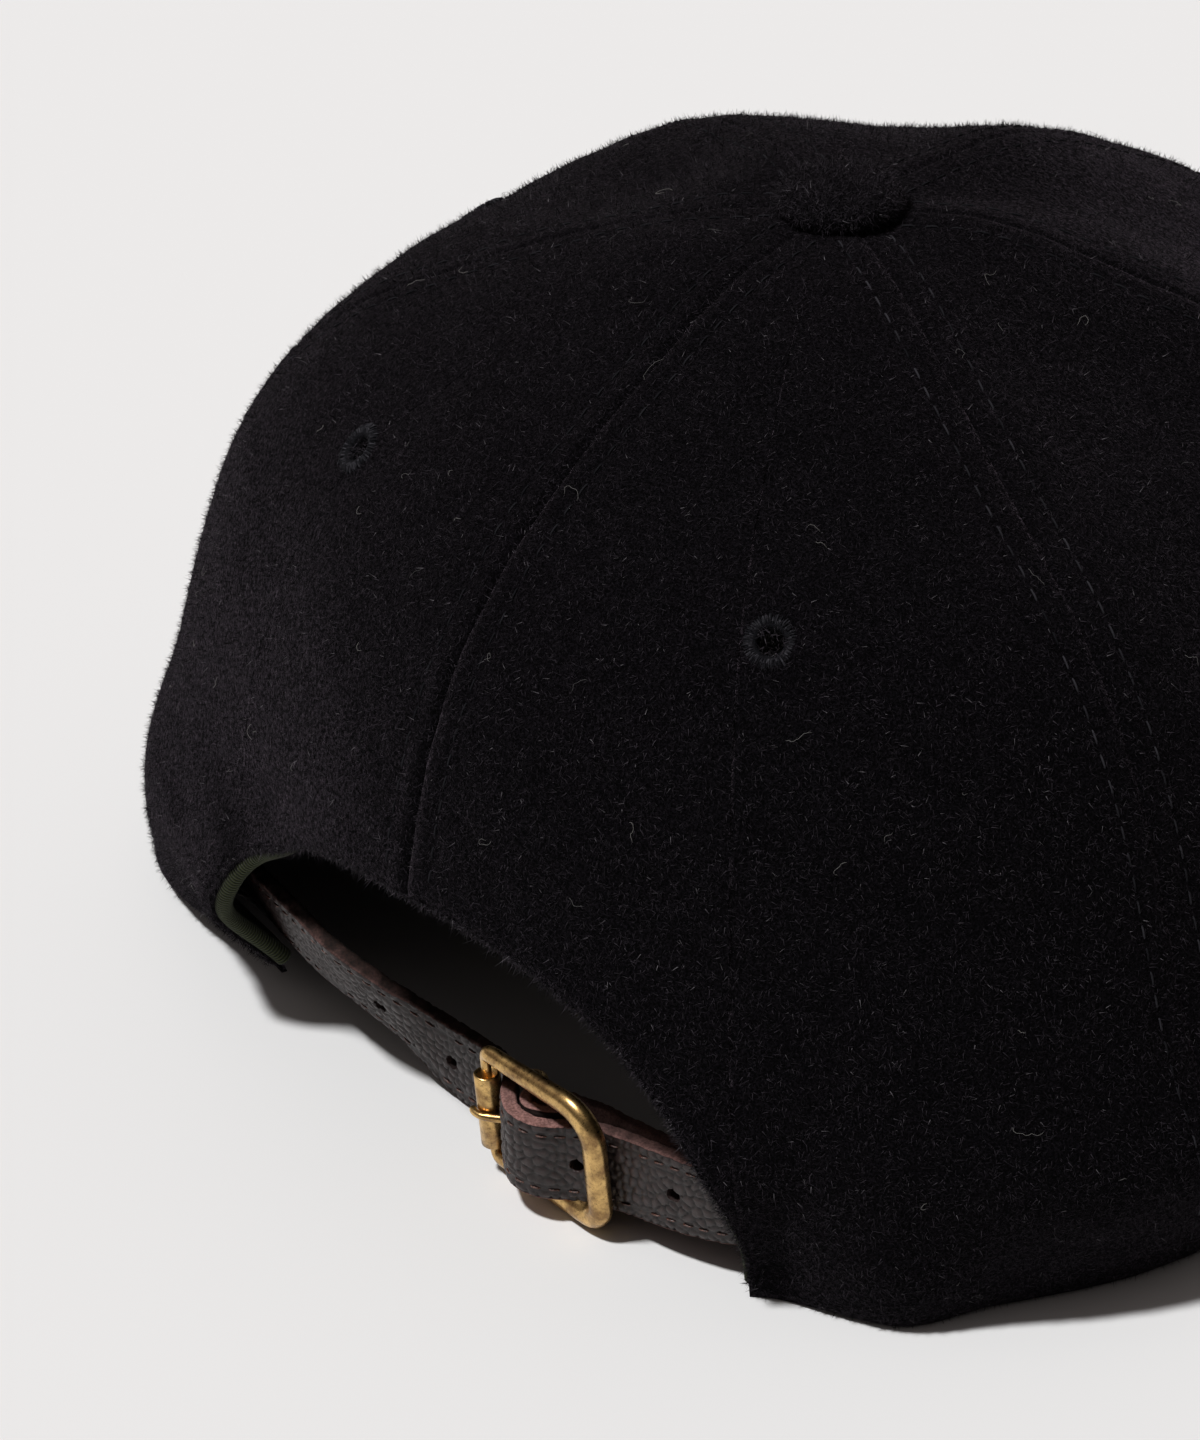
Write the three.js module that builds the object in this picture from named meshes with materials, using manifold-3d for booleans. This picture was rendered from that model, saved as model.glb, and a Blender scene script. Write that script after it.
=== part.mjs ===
// A six-panel wool cap with a curved visor, an arched opening at the back and a buckled leather strap.
// Millimetres, +Z up. The back of the cap is at +Y, the visor points to -Y, the wearer's right is -X.
// The crown is worked out around the button's axis, and the whole cap is centred on its own box at the end.
import * as THREE from 'three';
import { mergeVertices } from 'three/addons/utils/BufferGeometryUtils.js';
import Module from 'manifold-3d';

const wasm = await Module();
wasm.setup();

// Driving dimensions
const CROWN_HEIGHT = 107.3;
const WOOL = 2.0;
const GAP = 0.3;

// Sections around the crown. angle: degrees from the back, + towards the wearer's right.
// belly and rim: distance from the axis. rise: height of the rim. lift: how far the shoulder is raised.
const SECTIONS = [
  { angle: -150.2, belly: 91.9, rim: 91.0, rise: 13.9, lift: -1.8 },
  { angle: -120.3, belly: 88.8, rim: 86.0, rise: 8.2, lift: 2.2 },
  { angle: -93.0, belly: 87.5, rim: 85.3, rise: 0.0, lift: -0.2 },
  { angle: -65.6, belly: 92.9, rim: 98.8, rise: 0.0, lift: -2.4 },
  { angle: -32.8, belly: 84.5, rim: 78.2, rise: 4.9, lift: -0.1 },
  { angle: 0.0, belly: 88.7, rim: 86.4, rise: 0.0, lift: -1.3 },
  { angle: 32.8, belly: 88.6, rim: 89.0, rise: 0.0, lift: 0.1 },
  { angle: 65.6, belly: 93.3, rim: 90.5, rise: 0.0, lift: -0.9 },
  { angle: 93.0, belly: 87.7, rim: 85.3, rise: 0.0, lift: -0.1 },
  { angle: 120.3, belly: 88.8, rim: 86.0, rise: 8.2, lift: 2.4 },
  { angle: 150.2, belly: 91.9, rim: 91.0, rise: 13.9, lift: -1.8 },
  { angle: 180.0, belly: 95.3, rim: 95.0, rise: 17.3, lift: 1.3 },
];

// The crown's profile from the button down, evenly spaced, with the rim as one more step.
// out: share of the belly's distance. up: share of the crown's height.
const PROFILE = [
  { out: 0.0, up: 1.023 },
  { out: 0.26, up: 1.007 },
  { out: 0.558, up: 0.903 },
  { out: 0.769, up: 0.79 },
  { out: 0.902, up: 0.621 },
  { out: 0.993, up: 0.344 },
  { out: 1.046, up: 0.18 },
];

// Soft dents and swellings. angle and down (0 button, 1 rim) place the middle, depth is inwards,
// across and along are how far it reaches around and down the crown.
const DENTS = [
  { angle: -96, down: 0.2, depth: 3.2, across: 15, along: 13 },
  { angle: -24, down: 0.72, depth: 1.6, across: 34, along: 7 },
  { angle: 37, down: 0.86, depth: 1.5, across: 7, along: 12 },
  { angle: 45, down: 0.94, depth: -1.2, across: 10, along: 9 },
  { angle: 92, down: 0.26, depth: 2.2, across: 20, along: 15 },
  { angle: 150, down: 0.36, depth: 2.0, across: 20, along: 17 },
  { angle: -150, down: 0.42, depth: 1.8, across: 22, along: 18 },
];
const CROWN_LENGTH = 165;

// Seams, in degrees from the back. The rear side seams turn forwards from the button to the rim.
const REAR_SEAM = 65.6;
const REAR_SEAM_TURN = 11.1;
const FRONT_SEAM = 120.3;

// Opening at the back: half an ellipse over the rim
const ARCH_HALF_WIDTH = 50;
const ARCH_HEIGHT = 48.8;
const ARCH_STEPS = 11;

// Grid of a panel: rows down it, columns across it, and beside the opening the columns' share of the rest.
// The rows start just beside the button's axis and lie closer together towards the rim.
const PANEL = { rows: 18, columns: 10, topDown: 0.014, spread: 0.75, tipRadius: 1.5 };
const BESIDE_ARCH = [0.14, 0.3, 0.5, 0.74, 1];

const TAPE = { thickness: 0.8, width: 9, proud: 1.1, behind: 0.8, sunk: 0.2, swing: 88.5 };
// The button's dome is flat below its widest part, which lies at edge over its foot
const BUTTON = { radius: 8.8, height: 5.6, edge: 1.3, startTurn: -25, steps: 6, sides: 20 };
const EYELET = { down: 0.425, outer: 3.5, hole: 1.4, proud: 0.5, sides: 10 };

// Visor: an ellipse around middleY for its outer edge, drawn through halfTurn degrees to each side.
// rootShare: how far out its inner edge lies, as a share of the rim's distance.
const VISOR = { halfWidth: 89, reach: 76, middleY: -84, halfTurn: 119, rootShare: 0.978 };
const VISOR_BOARD = { thickness: 4, frontHeight: 14.5, columns: 28, rows: 6 };

const STRAP = { width: 12.2, thickness: 2.6, hole: 1.1, holeSpacing: 15, steps: 64 };
const TAB = { width: 11.4, thickness: 1.4, slot: 2.8, slotLength: 9, steps: 48 };

// The long strap's middle line, from its left end, sewn inside the wall, to its tail.
// lean: degrees that its top stands further out than its foot.
const STRAP_PATH = [
  { x: 68.8, y: 55.2, z: 12.2, lean: 15 },
  { x: 62.3, y: 57.8, z: 12.2, lean: 21 },
  { x: 55.8, y: 59.2, z: 12.2, lean: 30 },
  { x: 50.0, y: 61.4, z: 12.3, lean: 34 },
  { x: 44.2, y: 63.9, z: 12.3, lean: 36 },
  { x: 35.1, y: 67.1, z: 12.1, lean: 28 },
  { x: 26.0, y: 69.2, z: 11.8, lean: 20 },
  { x: 16.8, y: 70.7, z: 11.5, lean: 16 },
  { x: 7.5, y: 72.0, z: 11.1, lean: 12 },
  { x: 0.0, y: 73.0, z: 10.8, lean: 6 },
  { x: -4.2, y: 73.3, z: 10.6, lean: 2 },
  { x: -7.8, y: 75.2, z: 10.5, lean: 0 },
  { x: -10.4, y: 78.4, z: 10.4, lean: 0 },
  { x: -13.4, y: 80.1, z: 10.4, lean: 2 },
  { x: -17.0, y: 79.9, z: 10.4, lean: 2 },
  { x: -20.2, y: 78.0, z: 10.4, lean: 1 },
  { x: -23.4, y: 75.7, z: 10.4, lean: 1 },
  { x: -28.0, y: 74.8, z: 10.5, lean: 2 },
  { x: -34.0, y: 74.5, z: 10.7, lean: 4 },
  { x: -41.0, y: 73.4, z: 11.1, lean: 7 },
  { x: -47.5, y: 70.9, z: 11.7, lean: 9 },
  { x: -51.4, y: 68.6, z: 12.0, lean: 9 },
  { x: -55.8, y: 66.9, z: 12.0, lean: 10 },
  { x: -58.6, y: 65.6, z: 12.0, lean: 11 },
];

// The tab's middle line from its sewn end to the buckle's centre bar, where it folds back on itself.
const TAB_PATH = [
  { x: -69.3, y: 57.6, z: 12.0, lean: 14 },
  { x: -65.0, y: 61.6, z: 12.0, lean: 14 },
  { x: -61.6, y: 62.2, z: 12.0, lean: 13 },
  { x: -57.6, y: 63.2, z: 12.0, lean: 11 },
  { x: -54.6, y: 64.4, z: 12.0, lean: 10 },
  { x: -50.2, y: 66.1, z: 12.0, lean: 9 },
  { x: -46.2, y: 68.6, z: 11.6, lean: 9 },
  { x: -40.2, y: 70.8, z: 11.1, lean: 7 },
  { x: -34.0, y: 71.9, z: 10.7, lean: 4 },
  { x: -28.0, y: 72.2, z: 10.6, lean: 2 },
  { x: -21.0, y: 72.4, z: 10.6, lean: 0 },
  { x: -16.5, y: 72.9, z: 10.6, lean: 0 },
];
const TAB_FOLD = [
  { x: -16.6, y: 76.7 },
  { x: -19.2, y: 75.3 },
];
const BUCKLE_HEIGHT = 10.6;

// Buckle: a frame with a roller on its straight side and a bar across its middle
const FRAME = { x: -3.4, y: 76.9, low: 2.4, high: 18.9, length: 22.3, turn: 10, thin: 1.15, thick: 1.75 };
const CORNER = { left: 1.6, right: 5.2, steps: 4 };
const CENTRE_BAR = { x: -14, y: 75.3, radius: 1.0, along: 10.7, bend: 1.7 };
const ROLLER = { inner: 1.4, outer: 1.75, length: 10.2, middle: 10.7, sides: 14 };
const PRONG = { radius: 0.8, hole: 1.5, steps: 26 };
const LEFT_BAR_RADIUS = 1.05;
const ROD_SIDES = 8;

const COLOURS = {
  wool: { color: 0x17161a, roughness: 0.95, metalness: 0 },
  tape: { color: 0x3a4432, roughness: 0.85, metalness: 0 },
  leather: { color: 0x33261f, roughness: 0.55, metalness: 0 },
  brass: { color: 0x8a6c35, roughness: 0.35, metalness: 1 },
};

const radians = THREE.MathUtils.degToRad;
const { lerp, clamp } = THREE.MathUtils;

// Smooth curve through the points (xs, ys)
function splineAt(xs, ys, x) {
  const last = xs.length - 1;
  const step = (k) => xs[k + 1] - xs[k];
  const slope = (k) => (ys[k + 1] - ys[k]) / step(k);
  const tangent = (k) => {
    if (k === 0) return slope(0);
    if (k === last) return slope(last - 1);
    return (slope(k - 1) * step(k) + slope(k) * step(k - 1)) / (step(k - 1) + step(k));
  };
  let k = 0;
  while (k < last - 1 && x > xs[k + 1]) k += 1;
  const t = (x - xs[k]) / step(k);
  const t2 = t * t;
  const t3 = t2 * t;
  return (2 * t3 - 3 * t2 + 1) * ys[k] + (t3 - 2 * t2 + t) * step(k) * tangent(k)
    + (3 * t2 - 2 * t3) * ys[k + 1] + (t3 - t2) * step(k) * tangent(k + 1);
}

// Value of one column of SECTIONS at any angle, smooth all the way round
function around(column, angle) {
  const rows = [
    ...SECTIONS.slice(-3).map((row) => ({ ...row, angle: row.angle - 360 })),
    ...SECTIONS,
    ...SECTIONS.slice(0, 2).map((row) => ({ ...row, angle: row.angle + 360 })),
  ];
  return splineAt(rows.map((row) => row.angle), rows.map((row) => row[column]), angle);
}

const STEPS_DOWN = [...PROFILE, { out: 0, up: 0 }].map((row, k) => k / PROFILE.length);
const RIM_SHARE = STEPS_DOWN.map((down) => (down === 1 ? 1 : 0));

// The crown's outer surface without its dents
function plainCrown(angle, down) {
  const out = splineAt(STEPS_DOWN, [...PROFILE.map((row) => row.out), 0], down);
  const up = splineAt(STEPS_DOWN, [...PROFILE.map((row) => row.up), 0], down);
  const rim = splineAt(STEPS_DOWN, RIM_SHARE, down);
  const hump = Math.max(Math.sin(Math.PI * down ** 0.8), 0) ** 1.5;
  const radius = out * around('belly', angle) + rim * around('rim', angle);
  const rise = Math.max(around('rise', angle), 0);
  const height = up * CROWN_HEIGHT + rim * rise + hump * around('lift', angle);
  const turn = radians(angle);
  return new THREE.Vector3(-radius * Math.sin(turn), radius * Math.cos(turn), height);
}

function crownNormal(angle, down) {
  const turnStep = 0.5;
  const downStep = 0.004;
  const round = plainCrown(angle + turnStep, down).sub(plainCrown(angle - turnStep, down));
  const low = Math.min(down + downStep, 1);
  const along = plainCrown(angle, low).sub(plainCrown(angle, low - 2 * downStep));
  return along.cross(round).normalize();
}

// The crown's surface, depth millimetres in from its outside
function crown(angle, down, depth = 0) {
  const point = plainCrown(angle, down);
  const radius = Math.hypot(point.x, point.y);
  let inwards = depth;
  for (const dent of DENTS) {
    const turn = ((angle - dent.angle + 540) % 360) - 180;
    const across = (radians(turn) * radius) / dent.across;
    const along = ((down - dent.down) * CROWN_LENGTH) / dent.along;
    inwards += dent.depth * Math.exp(-(across * across) - along * along);
  }
  return point.addScaledVector(crownNormal(angle, down), -inwards);
}

// How far down a point of the crown is that lies height millimetres over the rim
function downAbove(angle, height) {
  const step = 0.005;
  let down = 1;
  let length = 0;
  let here = plainCrown(angle, down);
  while (length < height && down > step) {
    const next = plainCrown(angle, down - step);
    const stride = next.distanceTo(here);
    if (length + stride > height) return down - (step * (height - length)) / stride;
    length += stride;
    here = next;
    down -= step;
  }
  return down;
}

// Distance along the rim from the middle of the back, and the angle that lies that far along it
function rimTable(side) {
  const rows = [{ angle: 0, distance: 0 }];
  let here = plainCrown(0, 1);
  for (let turn = 1; turn <= 60; turn += 1) {
    const next = plainCrown(side * turn, 1);
    rows.push({ angle: turn, distance: rows.at(-1).distance + next.distanceTo(here) });
    here = next;
  }
  return rows;
}
const RIM = { '-1': rimTable(-1), 1: rimTable(1) };

function lookUp(rows, from, to, value) {
  const k = Math.max(rows.findIndex((row) => row[from] > value), 1);
  const share = (value - rows[k - 1][from]) / (rows[k][from] - rows[k - 1][from]);
  return lerp(rows[k - 1][to], rows[k][to], share);
}

// A point beside the opening's edge, away from the opening by a distance along the wall:
// swing is -90 at the left corner, 0 at the top and 90 at the right
function archEdge(swing, away = 0) {
  const side = swing < 0 ? -1 : 1;
  const distance = (ARCH_HALF_WIDTH + away) * Math.abs(Math.sin(radians(swing)));
  const angle = side * lookUp(RIM[side], 'distance', 'angle', distance);
  const height = (ARCH_HEIGHT + away) * Math.cos(radians(swing));
  return { angle, down: downAbove(angle, height) };
}

function toGeometry(positions, index) {
  const geometry = new THREE.BufferGeometry();
  geometry.setAttribute('position', new THREE.Float32BufferAttribute(positions, 3));
  geometry.setIndex(index);
  return geometry;
}

// Turns the faces round where they point into the body
function facingOut(geometry) {
  const at = geometry.getAttribute('position');
  const index = geometry.getIndex().array;
  const corner = (k) => new THREE.Vector3().fromBufferAttribute(at, index[k]);
  let volume = 0;
  for (let k = 0; k < index.length; k += 3) volume += corner(k).dot(corner(k + 1).cross(corner(k + 2)));
  if (volume < 0) {
    for (let k = 0; k < index.length; k += 3) [index[k], index[k + 1]] = [index[k + 1], index[k]];
  }
  return geometry;
}

// A closed wall between two grids of points of the same size
function wallGeometry(outside, inside) {
  const rows = outside.length;
  const columns = outside[0].length;
  const positions = [...outside.flat(), ...inside.flat()].flatMap((point) => point.toArray());
  const inner = rows * columns;
  const index = [];
  const quad = (a, b, c, d) => index.push(a, b, c, a, c, d);
  for (let i = 0; i < rows - 1; i += 1) {
    for (let j = 0; j < columns - 1; j += 1) {
      const a = i * columns + j;
      quad(a, a + 1, a + columns + 1, a + columns);
      quad(inner + a, inner + a + columns, inner + a + columns + 1, inner + a + 1);
    }
  }
  const edge = [];
  for (let j = 0; j < columns - 1; j += 1) edge.push(j);
  for (let i = 0; i < rows - 1; i += 1) edge.push(i * columns + columns - 1);
  for (let j = columns - 1; j > 0; j -= 1) edge.push((rows - 1) * columns + j);
  for (let i = rows - 1; i > 0; i -= 1) edge.push(i * columns);
  edge.forEach((a, k) => {
    const b = edge[(k + 1) % edge.length];
    quad(a, inner + a, inner + b, b);
  });
  return facingOut(toGeometry(positions, index));
}

// A closed body through rings of points, each ring with as many points as the next.
// outline: the ring's shape as flat [x, y] pairs, where the ring isn't round, for its two end faces
function loftGeometry(rings, closed = false, outline = null) {
  const sides = rings[0].length;
  const positions = rings.flat().flatMap((point) => point.toArray());
  const index = [];
  const turns = closed ? rings.length : rings.length - 1;
  for (let i = 0; i < turns; i += 1) {
    const here = i * sides;
    const next = ((i + 1) % rings.length) * sides;
    for (let j = 0; j < sides; j += 1) {
      const k = (j + 1) % sides;
      index.push(here + j, here + k, next + k, here + j, next + k, next + j);
    }
  }
  if (!closed) {
    const end = (rings.length - 1) * sides;
    const round = Array.from({ length: sides }, (_, j) => {
      const turn = (2 * Math.PI * j) / sides;
      return [Math.cos(turn), Math.sin(turn)];
    });
    const corners = (outline ?? round).map(([x, y]) => new THREE.Vector2(x, y));
    const clockwise = THREE.ShapeUtils.isClockWise(corners);
    for (const [a, b, c] of THREE.ShapeUtils.triangulateShape(corners, [])) {
      const [p, q] = clockwise ? [c, b] : [b, c];
      index.push(a, q, p, end + a, end + p, end + q);
    }
  }
  return facingOut(toGeometry(positions, index));
}

// A round rod along points, with a radius for each. side: a direction that it never runs along
function rodGeometry(points, radii, side, closed = false) {
  const count = points.length;
  const rings = points.map((point, k) => {
    const before = points[closed ? (k + count - 1) % count : Math.max(k - 1, 0)];
    const after = points[closed ? (k + 1) % count : Math.min(k + 1, count - 1)];
    const along = after.clone().sub(before).normalize();
    const first = along.clone().cross(side).normalize();
    const second = along.clone().cross(first);
    return Array.from({ length: ROD_SIDES }, (_, j) => {
      const turn = (2 * Math.PI * j) / ROD_SIDES;
      return point.clone()
        .addScaledVector(first, radii[k] * Math.cos(turn))
        .addScaledVector(second, radii[k] * Math.sin(turn));
    });
  });
  return loftGeometry(rings, closed);
}

function toSolid(geometry) {
  const bare = geometry.clone();
  bare.deleteAttribute('normal');
  bare.deleteAttribute('uv');
  const merged = mergeVertices(bare, 1e-4);
  const vertProperties = new Float32Array(merged.getAttribute('position').array);
  const triVerts = new Uint32Array(merged.getIndex().array);
  return new wasm.Manifold(new wasm.Mesh({ numProp: 3, vertProperties, triVerts }));
}

function fromSolid(solid) {
  const mesh = solid.getMesh();
  return toGeometry(Array.from(mesh.vertProperties), Array.from(mesh.triVerts));
}

// Bores a round hole through a body, along a direction
function bored(solid, centre, direction, radius, length, sides) {
  const drill = new THREE.CylinderGeometry(radius, radius, length, sides);
  const turn = new THREE.Quaternion().setFromUnitVectors(new THREE.Vector3(0, 1, 0), direction);
  drill.applyQuaternion(turn);
  drill.translate(centre.x, centre.y, centre.z);
  return solid.subtract(toSolid(drill));
}

const cap = new THREE.Group();

function add(name, geometry, finish) {
  const mesh = new THREE.Mesh(geometry, new THREE.MeshStandardMaterial(COLOURS[finish]));
  mesh.geometry.computeVertexNormals();
  mesh.name = name;
  cap.add(mesh);
  return mesh;
}

// Angle of a seam at a height of the crown
function seamAngle(seam, down) {
  return Math.abs(seam) === REAR_SEAM ? seam + Math.sign(seam) * REAR_SEAM_TURN * (down - 0.5) : seam;
}

// Columns of points of a panel: share is how far across it one stands, foot how far down it goes
function panelColumns(from, to, opens) {
  if (!opens) {
    return Array.from({ length: PANEL.columns + 1 }, (_, k) => ({ share: k / PANEL.columns, foot: 1 }));
  }
  const columns = [];
  for (let k = 0; k <= ARCH_STEPS; k += 1) {
    const edge = archEdge((opens * 90 * k) / ARCH_STEPS);
    columns.push({ share: Math.abs(edge.angle / seamAngle(to, edge.down)), foot: edge.down });
  }
  const corner = columns.at(-1).share;
  for (const beyond of BESIDE_ARCH) columns.push({ share: lerp(corner, 1, beyond), foot: 1 });
  return columns;
}

// A panel of wool from one seam to the next, with the opening's share cut off its foot
function panelGeometry(from, to, opens) {
  const outside = [];
  const inside = [];
  for (const { share, foot } of panelColumns(from, to, opens)) {
    const outer = [];
    const inner = [];
    for (let k = 0; k <= PANEL.rows; k += 1) {
      const down = lerp(PANEL.topDown, foot, (k / PANEL.rows) ** PANEL.spread);
      const between = lerp(seamAngle(from, down), seamAngle(to, down), share);
      const here = plainCrown(between, down);
      const radius = Math.max(Math.hypot(here.x, here.y), PANEL.tipRadius);
      const inset = THREE.MathUtils.radToDeg(GAP / 2 / radius) * Math.sign(to - from) * (1 - 2 * share);
      const skin = crown(between + inset, down);
      const lining = crown(between + inset, down, WOOL);
      if (down === 1) {
        skin.z = here.z;
        lining.z = here.z;
      }
      outer.push(skin);
      inner.push(lining);
    }
    outside.push(outer);
    inside.push(inner);
  }
  return wallGeometry(outside, inside);
}

// Panels, each with a stitched eyelet in its middle
const PANELS = [
  { name: 'rear_right', from: 0, to: REAR_SEAM, opens: 1 },
  { name: 'side_right', from: REAR_SEAM, to: FRONT_SEAM, opens: 0 },
  { name: 'front_right', from: FRONT_SEAM, to: 180, opens: 0 },
  { name: 'rear_left', from: 0, to: -REAR_SEAM, opens: -1 },
  { name: 'side_left', from: -REAR_SEAM, to: -FRONT_SEAM, opens: 0 },
  { name: 'front_left', from: -FRONT_SEAM, to: -180, opens: 0 },
];
for (const panel of PANELS) {
  const middle = (panel.from + panel.to) / 2;
  const centre = crown(middle, EYELET.down, WOOL / 2);
  const outwards = crownNormal(middle, EYELET.down);
  const wall = toSolid(panelGeometry(panel.from, panel.to, panel.opens));
  const holed = bored(wall, centre, outwards, EYELET.outer + GAP, 6 * WOOL, EYELET.sides);
  add(`${panel.name}_panel`, fromSolid(holed), 'wool');

  const half = WOOL / 2 + EYELET.proud;
  const section = [
    [EYELET.hole, -half],
    [EYELET.outer, -half],
    [EYELET.outer, half - EYELET.proud],
    [(EYELET.outer + EYELET.hole) / 2, half],
    [EYELET.hole, half - EYELET.proud],
    [EYELET.hole, -half],
  ].map(([x, y]) => new THREE.Vector2(x, y));
  const ring = add(`${panel.name}_eyelet`, new THREE.LatheGeometry(section, EYELET.sides), 'wool');
  ring.quaternion.setFromUnitVectors(new THREE.Vector3(0, 1, 0), outwards);
  ring.position.copy(centre);
}

// Covered button over the point where the panels meet
const dome = [new THREE.Vector2(0, 0)];
for (let k = 0; k <= BUTTON.steps; k += 1) {
  const turn = radians(lerp(BUTTON.startTurn, 90, k / BUTTON.steps));
  const height = BUTTON.edge + (BUTTON.height - BUTTON.edge) * Math.sin(turn);
  dome.push(new THREE.Vector2(k === BUTTON.steps ? 0 : BUTTON.radius * Math.cos(turn), Math.max(height, 0)));
}
const button = add('top_button', new THREE.LatheGeometry(dome, BUTTON.sides), 'wool');
button.rotation.x = Math.PI / 2;
button.position.z = plainCrown(0, 0).z + GAP;

// Visor: its inner edge runs under the crown's rim, its outer edge is part of an ellipse
const visorTop = [];
const visorFoot = [];
for (let i = 0; i <= VISOR_BOARD.columns; i += 1) {
  const share = (2 * i) / VISOR_BOARD.columns - 1;
  const rimAngle = 180 - share * (180 - FRONT_SEAM);
  const angle = rimAngle > 180 ? rimAngle - 360 : rimAngle;
  const root = plainCrown(angle, 1).multiply(new THREE.Vector3(VISOR.rootShare, VISOR.rootShare, 1));
  const swing = radians(share * VISOR.halfTurn);
  const tipX = -VISOR.halfWidth * Math.sin(swing);
  const tipY = VISOR.middleY - VISOR.reach * Math.cos(swing);
  const fall = (VISOR_BOARD.frontHeight - VISOR_BOARD.thickness) * (tipX / VISOR.halfWidth) ** 2;
  const tip = new THREE.Vector3(tipX, tipY, VISOR_BOARD.frontHeight - fall);
  root.z -= GAP;
  const upper = [];
  const lower = [];
  for (let k = 0; k <= VISOR_BOARD.rows; k += 1) {
    const point = root.clone().lerp(tip, k / VISOR_BOARD.rows);
    upper.push(point);
    lower.push(point.clone().setZ(Math.max(point.z - VISOR_BOARD.thickness, 0)));
  }
  visorTop.push(upper);
  visorFoot.push(lower);
}
add('visor', wallGeometry(visorTop, visorFoot), 'wool');

// Tape bound over the opening's edge and carried on inside the wall
const tapeBack = WOOL + TAPE.behind;
const TAPE_SECTION = [
  { away: -TAPE.proud, depth: TAPE.sunk },
  { away: -GAP, depth: TAPE.sunk },
  { away: -GAP, depth: tapeBack },
  { away: TAPE.width / 2, depth: tapeBack },
  { away: TAPE.width, depth: tapeBack },
  { away: TAPE.width, depth: tapeBack + TAPE.thickness },
  { away: TAPE.width / 2, depth: tapeBack + TAPE.thickness },
  { away: -TAPE.proud, depth: tapeBack + TAPE.thickness },
];
const tapeRings = [];
for (let k = -ARCH_STEPS; k <= ARCH_STEPS; k += 1) {
  const swing = clamp((90 * k) / ARCH_STEPS, -TAPE.swing, TAPE.swing);
  tapeRings.push(TAPE_SECTION.map(({ away, depth }) => {
    const { angle, down } = archEdge(swing, away);
    return crown(angle, down, depth);
  }));
}
const tapeOutline = TAPE_SECTION.map(({ away, depth }) => [away, depth]);
add('arch_tape', loftGeometry(tapeRings, false, tapeOutline), 'tape');

// Buckle frame: a rounded loop, thicker towards its curved end, with its centre bar bent inwards
function onFrame(along, height) {
  const turn = radians(FRAME.turn);
  return new THREE.Vector3(FRAME.x - along * Math.cos(turn), FRAME.y + along * Math.sin(turn), height);
}
const CORNERS = [
  { along: CORNER.left, height: FRAME.high - CORNER.left, radius: CORNER.left, start: 180 },
  { along: FRAME.length - CORNER.right, height: FRAME.high - CORNER.right, radius: CORNER.right, start: 90 },
  { along: FRAME.length - CORNER.right, height: FRAME.low + CORNER.right, radius: CORNER.right, start: 0 },
  { along: CORNER.left, height: FRAME.low + CORNER.left, radius: CORNER.left, start: -90 },
];
const loop = [];
const loopRadii = [];
for (const corner of CORNERS) {
  for (let k = 0; k <= CORNER.steps; k += 1) {
    const turn = radians(corner.start - (90 * k) / CORNER.steps);
    const along = corner.along + corner.radius * Math.cos(turn);
    loop.push(onFrame(along, corner.height + corner.radius * Math.sin(turn)));
    const share = Math.max(along / FRAME.length, 0);
    loopRadii.push(along < 0.01 ? LEFT_BAR_RADIUS : lerp(FRAME.thin, FRAME.thick, share));
  }
}
const barFoot = onFrame(CENTRE_BAR.along, FRAME.low);
const barHead = onFrame(CENTRE_BAR.along, FRAME.high);
const barPoints = [
  barFoot,
  new THREE.Vector3(CENTRE_BAR.x, (barFoot.y + CENTRE_BAR.y) / 2, FRAME.low + 0.4),
  new THREE.Vector3(CENTRE_BAR.x, CENTRE_BAR.y, FRAME.low + CENTRE_BAR.bend),
  new THREE.Vector3(CENTRE_BAR.x, CENTRE_BAR.y, FRAME.high - CENTRE_BAR.bend),
  new THREE.Vector3(CENTRE_BAR.x, (barHead.y + CENTRE_BAR.y) / 2, FRAME.high - 0.4),
  barHead,
];
const squareToFrame = new THREE.Vector3(Math.sin(radians(FRAME.turn)), Math.cos(radians(FRAME.turn)), 0);
const frameLoop = rodGeometry(loop, loopRadii, squareToFrame, true);
const barRadii = barPoints.map(() => CENTRE_BAR.radius);
const centreBar = rodGeometry(barPoints, barRadii, new THREE.Vector3(1, 0, 0));
add('buckle_frame', fromSolid(toSolid(frameLoop).add(toSolid(centreBar))), 'brass');

// Roller turning on the frame's straight side
const rollerSection = [
  [ROLLER.inner, -ROLLER.length / 2],
  [ROLLER.outer, -ROLLER.length / 2],
  [ROLLER.outer, ROLLER.length / 2],
  [ROLLER.inner, ROLLER.length / 2],
  [ROLLER.inner, -ROLLER.length / 2],
].map(([x, y]) => new THREE.Vector2(x, y));
const roller = add('buckle_roller', new THREE.LatheGeometry(rollerSection, ROLLER.sides), 'brass');
roller.rotation.x = Math.PI / 2;
roller.position.set(FRAME.x, FRAME.y, ROLLER.middle);

// Prong: an open ring round the centre bar, then through the strap's hole and over the roller
const ringRadius = CENTRE_BAR.radius + GAP + PRONG.radius;
const prongPlan = [];
for (let k = 0; k <= 7; k += 1) {
  const turn = radians(120 + 30 * k);
  prongPlan.push(new THREE.Vector3(
    CENTRE_BAR.x + ringRadius * Math.cos(turn),
    CENTRE_BAR.y + ringRadius * Math.sin(turn),
    BUCKLE_HEIGHT,
  ));
}
const overRoller = ROLLER.outer + GAP + PRONG.radius;
for (const degrees of [125, 95, 65, 40]) {
  const turn = radians(degrees);
  prongPlan.push(new THREE.Vector3(
    FRAME.x + overRoller * Math.cos(turn),
    FRAME.y + overRoller * Math.sin(turn),
    BUCKLE_HEIGHT,
  ));
}
const prongPoints = new THREE.CatmullRomCurve3(prongPlan, false, 'centripetal').getPoints(PRONG.steps);
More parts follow.
